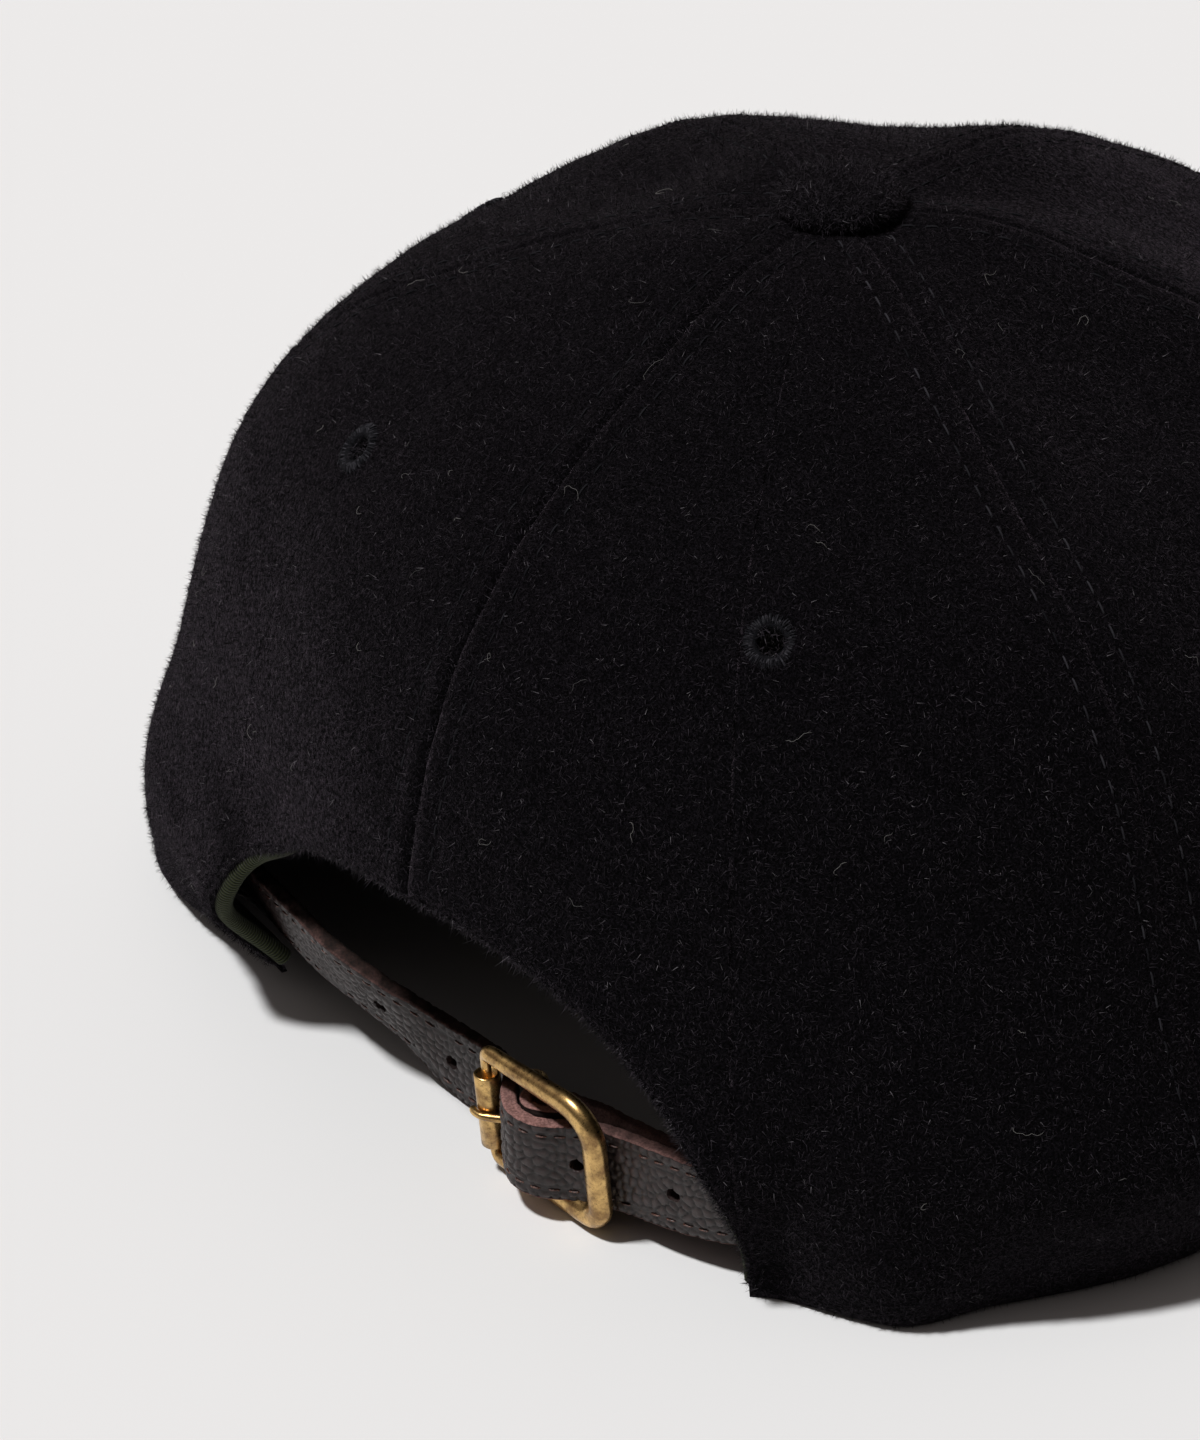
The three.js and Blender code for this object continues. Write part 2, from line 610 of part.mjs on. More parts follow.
const prongRadii = prongPoints.map(() => PRONG.radius);
add('buckle_prong', rodGeometry(prongPoints, prongRadii, new THREE.Vector3(0, 0, 1)), 'brass');

// Where the prong crosses the strap, half way between the bar and the roller
const prongStart = prongPlan[7];
const prongMiddle = prongStart.clone().lerp(prongPlan[8], 0.5);
const prongRun = prongPlan[8].clone().sub(prongStart).normalize();

// A flat leather strip along rows of x, y, z and lean
function strip(rows, { steps, width, thickness }) {
  const centres = new THREE.CatmullRomCurve3(
    rows.map(({ x, y, z }) => new THREE.Vector3(x, y, z)), false, 'centripetal');
  const leans = new THREE.CatmullRomCurve3(
    rows.map(({ x, y, lean }) => new THREE.Vector3(x, y, lean)), false, 'centripetal');
  const outside = [];
  const inside = [];
  for (let k = 0; k <= steps; k += 1) {
    const share = k / steps;
    const centre = centres.getPoint(share);
    const along = centres.getTangent(share).setZ(0).normalize();
    const out = new THREE.Vector3(along.y, -along.x, 0);
    const lean = radians(leans.getPoint(share).z) * Math.sign(out.dot(centre));
    out.applyAxisAngle(along, lean);
    const up = new THREE.Vector3(0, 0, 1).applyAxisAngle(along, lean);
    const face = (depth) => [-1, 1].map((side) => centre.clone()
      .addScaledVector(up, (side * width) / 2)
      .addScaledVector(out, depth));
    outside.push(face(thickness / 2));
    inside.push(face(-thickness / 2));
  }
  return { centres, solid: toSolid(wallGeometry(outside, inside)) };
}

// Long strap with its row of holes; the middle one is where the prong goes through
const { centres: strapCurve, solid: bareStrap } = strip(STRAP_PATH, STRAP);
const strapLength = strapCurve.getLength();
let pierced = 0;
for (let share = 0; share <= 1; share += 0.002) {
  const distance = (at) => strapCurve.getPointAt(at).distanceTo(prongMiddle);
  if (distance(share) < distance(pierced)) pierced = share;
}
let strap = bored(bareStrap, prongMiddle, prongRun, PRONG.hole, 4 * STRAP.thickness, 8);
for (const turn of [-2, -1, 1, 2]) {
  const share = pierced + (turn * STRAP.holeSpacing) / strapLength;
  const tangent = strapCurve.getTangentAt(share);
  const across = new THREE.Vector3(tangent.y, -tangent.x, 0).normalize();
  strap = bored(strap, strapCurve.getPointAt(share), across, STRAP.hole, 3 * STRAP.thickness, 8);
}
add('strap_long', fromSolid(strap), 'leather');

// Tab: in from its sewn end, round the centre bar and a short way back
const loopRadius = CENTRE_BAR.radius + GAP + TAB.thickness / 2;
const tabRows = [...TAB_PATH];
for (let k = 0; k <= 6; k += 1) {
  const turn = radians(-90 + 30 * k);
  tabRows.push({
    x: CENTRE_BAR.x + loopRadius * Math.cos(turn),
    y: CENTRE_BAR.y + loopRadius * Math.sin(turn),
    z: BUCKLE_HEIGHT,
    lean: 0,
  });
}
tabRows.push(...TAB_FOLD.map(({ x, y }) => ({ x, y, z: BUCKLE_HEIGHT, lean: 0 })));
const { solid: bareTab } = strip(tabRows, TAB);
const slot = new THREE.BoxGeometry(TAB.slotLength, TAB.slotLength, TAB.slot);
slot.translate(CENTRE_BAR.x + CENTRE_BAR.radius, CENTRE_BAR.y, BUCKLE_HEIGHT);
add('strap_tab', fromSolid(bareTab.subtract(toSolid(slot))), 'leather');

// The part's origin is under the middle of its box
const box = new THREE.Box3().setFromObject(cap);
const middle = box.getCenter(new THREE.Vector3());
cap.position.set(-middle.x, -middle.y, -box.min.z);
const part = new THREE.Group();
part.add(cap);

export default part;
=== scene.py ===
"""A black felted wool cap seen from behind, with a leather strap and a brass roller buckle.

Sizes are in millimetres, around the crown's axis, as in the CAD source. place() puts them in the frame.
The back of the cap is at +Y, the visor points to -Y, the wearer's right is -X.
"""
import math

import bpy
import numpy as np
from mathutils import Matrix, Vector


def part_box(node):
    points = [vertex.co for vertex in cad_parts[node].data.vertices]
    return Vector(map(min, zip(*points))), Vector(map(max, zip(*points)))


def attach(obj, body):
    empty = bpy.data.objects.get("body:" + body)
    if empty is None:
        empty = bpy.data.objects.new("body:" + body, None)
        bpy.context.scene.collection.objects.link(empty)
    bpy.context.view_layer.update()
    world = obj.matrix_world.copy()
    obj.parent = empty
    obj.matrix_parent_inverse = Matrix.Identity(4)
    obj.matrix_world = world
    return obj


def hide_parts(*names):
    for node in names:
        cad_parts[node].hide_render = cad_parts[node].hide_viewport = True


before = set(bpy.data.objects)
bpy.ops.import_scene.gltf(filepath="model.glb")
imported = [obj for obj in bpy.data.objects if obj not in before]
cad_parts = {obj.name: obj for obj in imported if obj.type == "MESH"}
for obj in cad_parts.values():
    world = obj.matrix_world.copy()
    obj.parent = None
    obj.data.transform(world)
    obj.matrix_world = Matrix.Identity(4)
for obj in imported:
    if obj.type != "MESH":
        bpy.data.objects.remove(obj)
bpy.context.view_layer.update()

MM = 0.001
UP = np.array([0, 0, 1.0])
SEED = 7
RNG = np.random.default_rng(SEED)

# The crown, as in the CAD source
CROWN_HEIGHT = 107.3
CROWN_LENGTH = 165.0
WOOL = 2.0
GAP = 0.3
# angle from the back, belly and rim distance, rise of the rim, lift of the shoulder
SECTIONS = np.array([
    (-150.2, 91.9, 91.0, 13.9, -1.8),
    (-120.3, 88.8, 86.0, 8.2, 2.2),
    (-93.0, 87.5, 85.3, 0.0, -0.2),
    (-65.6, 92.9, 98.8, 0.0, -2.4),
    (-32.8, 84.5, 78.2, 4.9, -0.1),
    (0.0, 88.7, 86.4, 0.0, -1.3),
    (32.8, 88.6, 89.0, 0.0, 0.1),
    (65.6, 93.3, 90.5, 0.0, -0.9),
    (93.0, 87.7, 85.3, 0.0, -0.1),
    (120.3, 88.8, 86.0, 8.2, 2.4),
    (150.2, 91.9, 91.0, 13.9, -1.8),
    (180.0, 95.3, 95.0, 17.3, 1.3),
])
BELLY, RIM, RISE, LIFT = 1, 2, 3, 4
# shares of the belly distance and of the crown's height, from the button down to the rim
PROFILE_OUT = [0.0, 0.26, 0.558, 0.769, 0.902, 0.993, 1.046, 0.0]
PROFILE_UP = [1.023, 1.007, 0.903, 0.79, 0.621, 0.344, 0.18, 0.0]
STEPS_DOWN = np.linspace(0, 1, len(PROFILE_OUT))
# angle, down, depth, reach across, reach along
DENTS = [
    (-96, 0.2, 3.2, 15, 13),
    (-24, 0.72, 1.6, 34, 7),
    (37, 0.86, 1.5, 7, 12),
    (45, 0.94, -1.2, 10, 9),
    (92, 0.26, 2.2, 20, 15),
    (150, 0.36, 2.0, 20, 17),
    (-150, 0.42, 1.8, 22, 18),
]
# more dents, in the scene only
SOFT_DENTS = [
    (-168, 0.13, 1.1, 14, 9),
    (174, 0.22, -1.3, 16, 10),
    (-44, 0.79, 0.9, 9, 5),
    (-22, 0.68, 0.8, 14, 5),
    (45, 0.98, -2.4, 8, 11),
    (34, 0.95, 2.4, 5, 12),
]
REAR_SEAM = 65.6
REAR_SEAM_TURN = 11.1
FRONT_SEAM = 120.3
SEAMS = (0.0, REAR_SEAM, -REAR_SEAM, FRONT_SEAM, -FRONT_SEAM, 180.0)
ARCH_HALF_WIDTH = 50.0
ARCH_HEIGHT = 48.8
ARCH_FARTHEST_TURN = 60
# the opening is wider near its left corner
ARCH_WIDER = {"swing": -53, "reach": 8, "away": 1.9}

# Sewing of the crown, and how deep each seam is drawn in
SEAM_DEPTH = {0.0: 0.55, REAR_SEAM: 0.3, -REAR_SEAM: 0.3, FRONT_SEAM: 0.28, -FRONT_SEAM: 0.28, 180.0: 0.4}
SEAM_GROOVE_WIDTH = 0.55
SEAM_FADE = 14
FOLD = {"share": 0.25, "at": 1.9, "width": 1.3}
STITCH_OFFSET = 3.7
STITCH_PITCH = 3.2
STITCH_GROOVE = {"share": 0.35, "width": 0.8}
TOP_DOWN = 0.014
# height, size and seed of the cloth's slight waves
CLOTH_WAVES = [(0.30, 26, 3), (0.14, 9, 4)]


def unit(v):
    return v / np.maximum(np.linalg.norm(v, axis=-1, keepdims=True), 1e-12)


def bell(distance, width):
    return np.exp(-(distance / width) ** 2)


def run_along(points):
    """Lengths along a line of points, from 0 at the first."""
    return np.concatenate([[0], np.cumsum(np.linalg.norm(np.diff(points, axis=0), axis=1))])


def resampled(at, run, values):
    """Each column of values, known at run, read at other lengths."""
    return np.stack([np.interp(at, run, values[:, k]) for k in range(values.shape[1])], axis=-1)


def turn_from(middle, angle):
    """Degrees from middle to angle, from -180 to 180."""
    return (angle - middle + 540) % 360 - 180


def circle(steps):
    return np.linspace(0, 2 * np.pi, steps + 1)[:-1]


def on_circle(degrees):
    turn = math.radians(degrees)
    return np.array([math.cos(turn), math.sin(turn)])


def spline_at(xs, ys, x):
    """Smooth curve through the points (xs, ys), as in the CAD source."""
    xs, ys, x = np.asarray(xs, float), np.asarray(ys, float), np.asarray(x, float)
    step = np.diff(xs)
    slope = np.diff(ys) / step
    tangent = np.empty(len(xs))
    tangent[0], tangent[-1] = slope[0], slope[-1]
    tangent[1:-1] = (slope[:-1] * step[1:] + slope[1:] * step[:-1]) / (step[:-1] + step[1:])
    k = np.clip(np.searchsorted(xs, x) - 1, 0, len(xs) - 2)
    t = (x - xs[k]) / step[k]
    t2, t3 = t * t, t * t * t
    return ((2 * t3 - 3 * t2 + 1) * ys[k] + (t3 - 2 * t2 + t) * step[k] * tangent[k]
            + (3 * t2 - 2 * t3) * ys[k + 1] + (t3 - t2) * step[k] * tangent[k + 1])


def around(column, angle):
    """One column of SECTIONS at any angle, smooth all the way round."""
    before, after = SECTIONS[-3:].copy(), SECTIONS[:2].copy()
    before[:, 0] -= 360
    after[:, 0] += 360
    rows = np.vstack([before, SECTIONS, after])
    return spline_at(rows[:, 0], rows[:, column], (angle + 180) % 360 - 180)


def plain_crown(angle, down):
    """The crown's outer surface without its dents."""
    angle, down = np.broadcast_arrays(np.asarray(angle, float), np.asarray(down, float))
    rim_share = spline_at(STEPS_DOWN, np.eye(len(STEPS_DOWN))[-1], down)
    hump = np.maximum(np.sin(np.pi * np.clip(down, 0, 1) ** 0.8), 0) ** 1.5
    radius = spline_at(STEPS_DOWN, PROFILE_OUT, down) * around(BELLY, angle) + rim_share * around(RIM, angle)
    rise = np.maximum(around(RISE, angle), 0)
    height = (spline_at(STEPS_DOWN, PROFILE_UP, down) * CROWN_HEIGHT + rim_share * rise
              + hump * around(LIFT, angle))
    turn = np.radians(angle)
    return np.stack([-radius * np.sin(turn), radius * np.cos(turn), height], axis=-1)


def crown_normal(angle, down):
    """The direction out of the crown, without its dents."""
    turn_step, down_step = 0.5, 0.004
    low = np.minimum(np.asarray(down) + down_step, 1)
    across = plain_crown(angle + turn_step, down) - plain_crown(angle - turn_step, down)
    along = plain_crown(angle, low) - plain_crown(angle, low - 2 * down_step)
    return unit(np.cross(along, across))


def crown(angle, down, depth=0.0):
    """The crown's surface, depth in from its outside."""
    point = plain_crown(angle, down)
    radius = np.hypot(point[..., 0], point[..., 1])
    inwards = np.zeros(radius.shape) + depth
    for dent_angle, dent_down, dent_depth, across, along in DENTS + SOFT_DENTS:
        a = np.radians(turn_from(dent_angle, angle)) * radius / across
        b = (down - dent_down) * CROWN_LENGTH / along
        inwards = inwards + dent_depth * np.exp(-a * a - b * b)
    return point - crown_normal(angle, down) * inwards[..., None]


def seam_angle(seam, down):
    """A seam's angle on its way down. The rear side seams run askew."""
    turned = math.copysign(REAR_SEAM_TURN, seam) * (down - 0.5) if abs(seam) == REAR_SEAM else 0 * down
    return seam + turned


def rim_table(side):
    """Turns from the back to one side, and the lengths along the rim to them."""
    turns = np.arange(ARCH_FARTHEST_TURN + 1)
    return turns, run_along(plain_crown(side * turns.astype(float), np.ones(len(turns))))


RIM_TABLES = {side: rim_table(side) for side in (-1, 1)}


def down_above(angle, height):
    """How far down a point of the crown is that lies height over the rim."""
    step, count = 0.005, 120
    downs = 1 - step * np.arange(count)
    points = plain_crown(angle[:, None], downs[None, :])
    lengths = np.cumsum(np.linalg.norm(np.diff(points, axis=1), axis=2), axis=1)
    lengths = np.hstack([np.zeros((len(angle), 1)), lengths])
    return np.array([np.interp(h, row, downs) for h, row in zip(height, lengths)])


def arch_edge(swing, away=0.0):
    """Angles and downs beside the opening's edge; swing is -90 at the left corner and 90 at the right."""
    swing = np.asarray(swing, float)
    away = away + ARCH_WIDER["away"] * bell(swing - ARCH_WIDER["swing"], ARCH_WIDER["reach"])
    distance = (ARCH_HALF_WIDTH + away) * np.abs(np.sin(np.radians(swing)))
    angle = np.empty(swing.shape)
    for side, mask in ((-1, swing < 0), (1, swing >= 0)):
        turns, lengths = RIM_TABLES[side]
        angle[mask] = side * np.interp(distance[mask], lengths, turns)
    return angle, down_above(angle, (ARCH_HEIGHT + away) * np.cos(np.radians(swing)))


def ripple(points, size, seed):
    """Smooth random height, mostly between -1 and 1, with waves of about size."""
    rng = np.random.default_rng(seed)
    waves, usual_height = 7, 4
    total = np.zeros(points.shape[:-1])
    for _ in range(waves):
        wave = unit(rng.normal(size=3)) * 2 * math.pi / (size * rng.uniform(0.7, 1.5))
        total += np.sin(points @ wave + rng.uniform(0, 2 * math.pi))
    return total / usual_height


def seam_relief(angle, down, radius):
    """How far the cloth stands out beside the seams: groove, folded cloth and the line of stitches."""
    total = np.zeros(radius.shape)
    fade = np.clip(radius / SEAM_FADE, 0, 1)
    pits = 0.7 + 0.3 * np.cos(2 * np.pi * down * CROWN_LENGTH / STITCH_PITCH)
    for seam in SEAMS:
        far = np.abs(np.radians(turn_from(seam_angle(seam, down), angle))) * radius
        deep = SEAM_DEPTH[seam]
        total -= deep * bell(far, SEAM_GROOVE_WIDTH)
        total += FOLD["share"] * deep * bell(far - FOLD["at"], FOLD["width"])
        total -= STITCH_GROOVE["share"] * deep * pits * bell(far - STITCH_OFFSET, STITCH_GROOVE["width"])
    return total * fade


def skin(angle, down):
    """The crown's surface with its seams and the cloth's slight waves."""
    point = crown(angle, down)
    radius = np.hypot(point[..., 0], point[..., 1])
    out = seam_relief(angle, down, radius)
    for height, size, seed in CLOTH_WAVES:
        out = out + height * ripple(point, size, seed)
    return point + crown_normal(angle, down) * out[..., None]


ARCH_POINTS = 241
ARCH_LINE = crown(*arch_edge(np.linspace(-90, 90, ARCH_POINTS)))


def arch_distance(points):
    """Distance of each point to the edge of the opening."""
    flat = points.reshape(-1, 3)
    nearest = np.full(len(flat), np.inf)
    for at in ARCH_LINE:
        nearest = np.minimum(nearest, np.linalg.norm(flat - at, axis=1))
    return nearest.reshape(points.shape[:-1])


# Shift from the crown's axis to the frame
button_low, button_high = (np.array(corner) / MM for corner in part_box("top_button"))
button_middle = (button_low + button_high) / 2
button_foot = plain_crown(0.0, 0.0)[2] + GAP
SHIFT = np.array([button_middle[0], button_middle[1], button_low[2] - button_foot])


def place(points):
    """Millimetres around the crown's axis to metres in the frame."""
    return (np.asarray(points, float) + SHIFT) * MM


# Meshes

def linked(name, data):
    """A new object in the scene."""
    made = bpy.data.objects.new(name, data)
    bpy.context.scene.collection.objects.link(made)
    return made


class Body:
    """Points and faces collected for one piece, with one shade value for each point."""

    def __init__(self):
        self.points, self.faces, self.shades, self.count = [], [], [], 0

    def add(self, points, faces, shade=0.0):
        points = np.asarray(points, float).reshape(-1, 3)
        self.points.append(points)
        self.faces += [np.asarray(group, int) + self.count for group in faces if len(group)]
        self.shades.append(np.broadcast_to(np.asarray(shade, float), (len(points),)))
        self.count += len(points)
        return self

    def piece(self, name, material, slot, node=None, smooth=True):
        """Makes the Blender object on the one body. It stands for a CAD node if one is named."""
        mesh = bpy.data.meshes.new(name)
        mesh.vertices.add(self.count)
        mesh.vertices.foreach_set("co", place(np.concatenate(self.points)).ravel())
        loops = np.concatenate([group.ravel() for group in self.faces])
        sizes = np.concatenate([np.full(len(group), group.shape[1]) for group in self.faces])
        mesh.loops.add(len(loops))
        mesh.loops.foreach_set("vertex_index", loops)
        mesh.polygons.add(len(sizes))
        mesh.polygons.foreach_set("loop_start", np.concatenate([[0], np.cumsum(sizes)[:-1]]))
        mesh.polygons.foreach_set("use_smooth", np.full(len(sizes), smooth))
        shade = mesh.attributes.new("shade", "FLOAT", "POINT")
        shade.data.foreach_set("value", np.concatenate(self.shades).astype(np.float32))
        mesh.update(calc_edges=True)
        mesh.validate()
        mesh.materials.append(material)
        made = linked(name, mesh)
        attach(made, "root")
        if node:
            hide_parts(node)
        return made


def grid_quads(rows, columns, wrap_rows=False, wrap_columns=False):
    """Faces of a grid of rows by columns points."""
    i = np.arange(rows if wrap_rows else rows - 1)[:, None]
    j = np.arange(columns if wrap_columns else columns - 1)[None, :]
    down, right = (i + 1) % rows, (j + 1) % columns
    corners = [i * columns + j, i * columns + right, down * columns + right, down * columns + j]
    return np.stack([np.broadcast_to(c, (i.size, j.size)) for c in corners], axis=-1).reshape(-1, 4)


def border(rows, columns):
    """Indices round the edge of a grid."""
    index = np.arange(rows * columns).reshape(rows, columns)
    return np.concatenate([index[0, :-1], index[:-1, -1], index[-1, :0:-1], index[:0:-1, 0]])


def signed_volume(points, faces):
    """Six times the volume inside the faces, negative when they face inwards."""
    total = 0.0
    for group in faces:
        corner = points[group]
        for k in range(1, group.shape[1] - 1):
            total += np.einsum("ij,ij->i", corner[:, 0], np.cross(corner[:, k], corner[:, k + 1])).sum()
    return total


def facing_out(points, faces):
    if signed_volume(points, faces) < 0:
        faces = [group[:, ::-1] for group in faces]
    return points, faces


def shell(outer, inner, ratio):
    """A closed wall between a fine grid and a coarser one with every ratio-th row and column."""
    rows, columns = outer.shape[:2]
    inner_rows, inner_columns = inner.shape[:2]
    start = rows * columns
    far = border(rows, columns)
    near = border(inner_rows, inner_columns) + start
    i = np.arange(len(far))
    j = i // ratio
    beside = (i + 1) % len(far)
    fans = np.stack([far[beside], far, near[j]], axis=-1)
    turn = i[ratio - 1::ratio]
    steps = np.stack([far[(turn + 1) % len(far)], near[j[turn]], near[(j[turn] + 1) % len(near)]], axis=-1)
    points = np.vstack([outer.reshape(-1, 3), inner.reshape(-1, 3)])
    faces = [grid_quads(rows, columns), grid_quads(inner_rows, inner_columns)[:, ::-1] + start, fans, steps]
    return facing_out(points, faces)


# A direction that no path follows, from which a rod's ring of points is laid out
ASKEW = (0.21, 0.37, 0.9)


def tubes(paths, radii, sides, closed=False, flat=1.0, side=ASKEW):
    """Round rods along many paths of the same number of points. flat squeezes them along side."""
    paths = np.asarray(paths, float)
    count, steps = paths.shape[:2]
    if closed:
        along = np.roll(paths, -1, axis=1) - np.roll(paths, 1, axis=1)
    else:
        along = np.gradient(paths, axis=1)
    along = unit(along)
    first = unit(np.cross(along, np.asarray(side, float)))
    second = np.cross(along, first)
    turns = 2 * np.pi * np.arange(sides) / sides
    radii = np.broadcast_to(radii, (count, steps))[..., None, None]
    rings = (paths[:, :, None]
             + radii * np.cos(turns)[:, None] * first[:, :, None]
             + radii * flat * np.sin(turns)[:, None] * second[:, :, None])
    one = grid_quads(steps, sides, wrap_rows=closed, wrap_columns=True)
    faces = [(one[None] + (np.arange(count) * steps * sides)[:, None, None]).reshape(-1, 4)]
    if not closed:
        offsets = (np.arange(count) * steps * sides)[:, None]
        faces.append(np.arange(sides)[::-1] + offsets)
        faces.append(np.arange(sides) + (steps - 1) * sides + offsets)
    return facing_out(rings.reshape(-1, 3), faces)


def ring_loft(rings, closed=False):
    """A closed body through rings of points."""
    count, sides = rings.shape[:2]
    faces = [grid_quads(count, sides, wrap_rows=closed, wrap_columns=True)]
    if not closed:
        faces.append(np.arange(sides)[None, ::-1])
        faces.append(np.arange(sides)[None] + (count - 1) * sides)
    return facing_out(rings.reshape(-1, 3), faces)


FIBRE_SCATTER = 0.35


def fibres(points, normals, directions, lengths, widths):
    """Thin pointed fibres, one triangle each, turned to face out of the cloth."""
    facing = normals + FIBRE_SCATTER * RNG.normal(size=points.shape)
    side = unit(np.cross(facing, directions)) * widths[:, None] / 2
    tips = points + directions * lengths[:, None]
    body = np.stack([points - side, points + side, tips], axis=1).reshape(-1, 3)
    return body, [np.arange(3 * len(points)).reshape(-1, 3)]


def scatter(grid, count, outwards):
    """Random points on a grid, even by area, with the surface's normals, turned to face outwards(points)."""
    a, b, c, d = grid[:-1, :-1], grid[:-1, 1:], grid[1:, 1:], grid[1:, :-1]
    cross = np.cross(c - a, d - b).reshape(-1, 3)
    area = np.linalg.norm(cross, axis=1)
    pick = RNG.choice(len(area), count, p=area / area.sum())
    u, v = RNG.random((2, count, 1))
    corners = [corner.reshape(-1, 3)[pick] for corner in (a, b, c, d)]
    points = ((1 - u) * (1 - v) * corners[0] + u * (1 - v) * corners[1]
              + u * v * corners[2] + (1 - u) * v * corners[3])
    normals = unit(cross[pick])
    sign = np.sign(np.einsum("ij,ij->i", normals, outwards(points)))[:, None]
    return points, normals * sign


NAP = {"standing_share": 0.3, "standing": (0.3, 0.8), "lying": (0.05, 0.25), "droop": 0.12,
       "length": (0.5, 1.3), "width": (0.07, 0.13), "root": 0.05}


def nap(name, grid, count, outwards, length=NAP["length"]):
    """Short fibres that lie on the cloth or stand up from it, as one joined mesh."""
    points, normals = scatter(grid, count, outwards)
    lying = unit(np.cross(normals, RNG.normal(size=normals.shape)))
    rise = np.where(RNG.random((count, 1)) < NAP["standing_share"], RNG.uniform(*NAP["standing"], (count, 1)),
                    RNG.uniform(*NAP["lying"], (count, 1)))
    directions = unit(normals * rise + lying * (1 - rise) - NAP["droop"] * UP)
    lengths = RNG.uniform(*length, count)
    widths = RNG.uniform(*NAP["width"], count)
    shade = np.repeat(RNG.random(count), 3)
    body = Body().add(*fibres(points - NAP["root"] * normals, normals, directions, lengths, widths), shade)
    body.piece(name, MATERIALS["nap"], "wool", smooth=False)


STITCH_POINTS = 5
STITCH_SIDES = 5


def stitches(points, normals, pitch, length, radius, height, skip=0.0):
    """Thread stitches along a line on a surface, each an arch that dips into the cloth at its ends."""
    run = run_along(points)
    middles = np.arange(pitch / 2, run[-1] - pitch / 2, pitch)
    if skip:
        middles = middles[RNG.random(len(middles)) > skip]
    middles = middles + RNG.normal(0, 0.03 * pitch, len(middles))
    share = np.linspace(-1, 1, STITCH_POINTS)
    at = middles[:, None] + share[None] * length / 2
    sample = resampled(at, run, points)
    normal = unit(resampled(at, run, normals))
    lift = height + radius - (radius * 2.4 + height) * np.abs(share) ** 4
    paths = sample + normal * lift[None, :, None]
    radii = radius * (1 - 0.35 * np.abs(share) ** 3)[None]
    return tubes(paths, radii, STITCH_SIDES)


def catmull(rows, samples):
    """Centripetal Catmull-Rom curve through rows, as in the CAD source, at even steps of its parameter."""
    rows = np.asarray(rows, float)
    last = len(rows) - 1
    padded = np.vstack([2 * rows[0] - rows[1], rows, 2 * rows[-1] - rows[-2]])
    t = np.linspace(0, last, samples)
    k = np.minimum(t.astype(int), last - 1)
    w = (t - k)[:, None]
    p0, p1, p2, p3 = (padded[k + n] for n in range(4))
    dt0, dt1, dt2 = (np.maximum(np.linalg.norm(b - a, axis=1, keepdims=True) ** 0.5, 1e-4)
                     for a, b in ((p0, p1), (p1, p2), (p2, p3)))
    m1 = ((p1 - p0) / dt0 - (p2 - p0) / (dt0 + dt1) + (p2 - p1) / dt1) * dt1
    m2 = ((p2 - p1) / dt1 - (p3 - p1) / (dt1 + dt2) + (p3 - p2) / dt2) * dt1
    return (p1 + m1 * w + (-3 * p1 + 3 * p2 - 2 * m1 - m2) * w ** 2
            + (2 * p1 - 2 * p2 + m1 + m2) * w ** 3)


def cells(u, v, size, seed):
    """Distance to the nearest and next cell middle of a jittered grid, in cells."""
    repeat = 64
    jitter = np.random.default_rng(seed).uniform(0.1, 0.9, (repeat, repeat, 2))
    x, y = u / size, v / size
    i, j = np.floor(x).astype(int), np.floor(y).astype(int)
    first = np.full(x.shape, np.inf)
    second = np.full(x.shape, np.inf)
    for di in (-1, 0, 1):
        for dj in (-1, 0, 1):
            spot = jitter[(i + di) % repeat, (j + dj) % repeat]
            d = np.hypot(i + di + spot[..., 0] - x, j + dj + spot[..., 1] - y)
            second = np.where(d < first, first, np.minimum(second, d))
            first = np.minimum(first, d)
    return first, second


def drill(middle, direction, half_length):
    """The path of a rod that bores through a piece."""
    return np.stack([middle - half_length * direction, middle + half_length * direction])[None]


def cut(piece, cutter_bodies):
    """Cuts closed bodies out of a piece."""
    tool = Body()
    for points, faces in cutter_bodies:
        tool.add(points, faces)
    mesh = bpy.data.meshes.new("cutter")
    mesh.from_pydata(place(np.concatenate(tool.points)).tolist(), [],
                     [face for group in tool.faces for face in group.tolist()])
    cutter = linked("cutter", mesh)
    modifier = piece.modifiers.new("holes", "BOOLEAN")
    modifier.operation = "DIFFERENCE"
    modifier.solver = "MANIFOLD"
    modifier.object = cutter
    bpy.context.view_layer.update()
    graph = bpy.context.evaluated_depsgraph_get()
    result = bpy.data.meshes.new_from_object(piece.evaluated_get(graph))
    piece.modifiers.clear()
    old = piece.data
    piece.data = result
    bpy.data.meshes.remove(old)
    bpy.data.objects.remove(cutter)
    bpy.data.meshes.remove(mesh)


# Materials

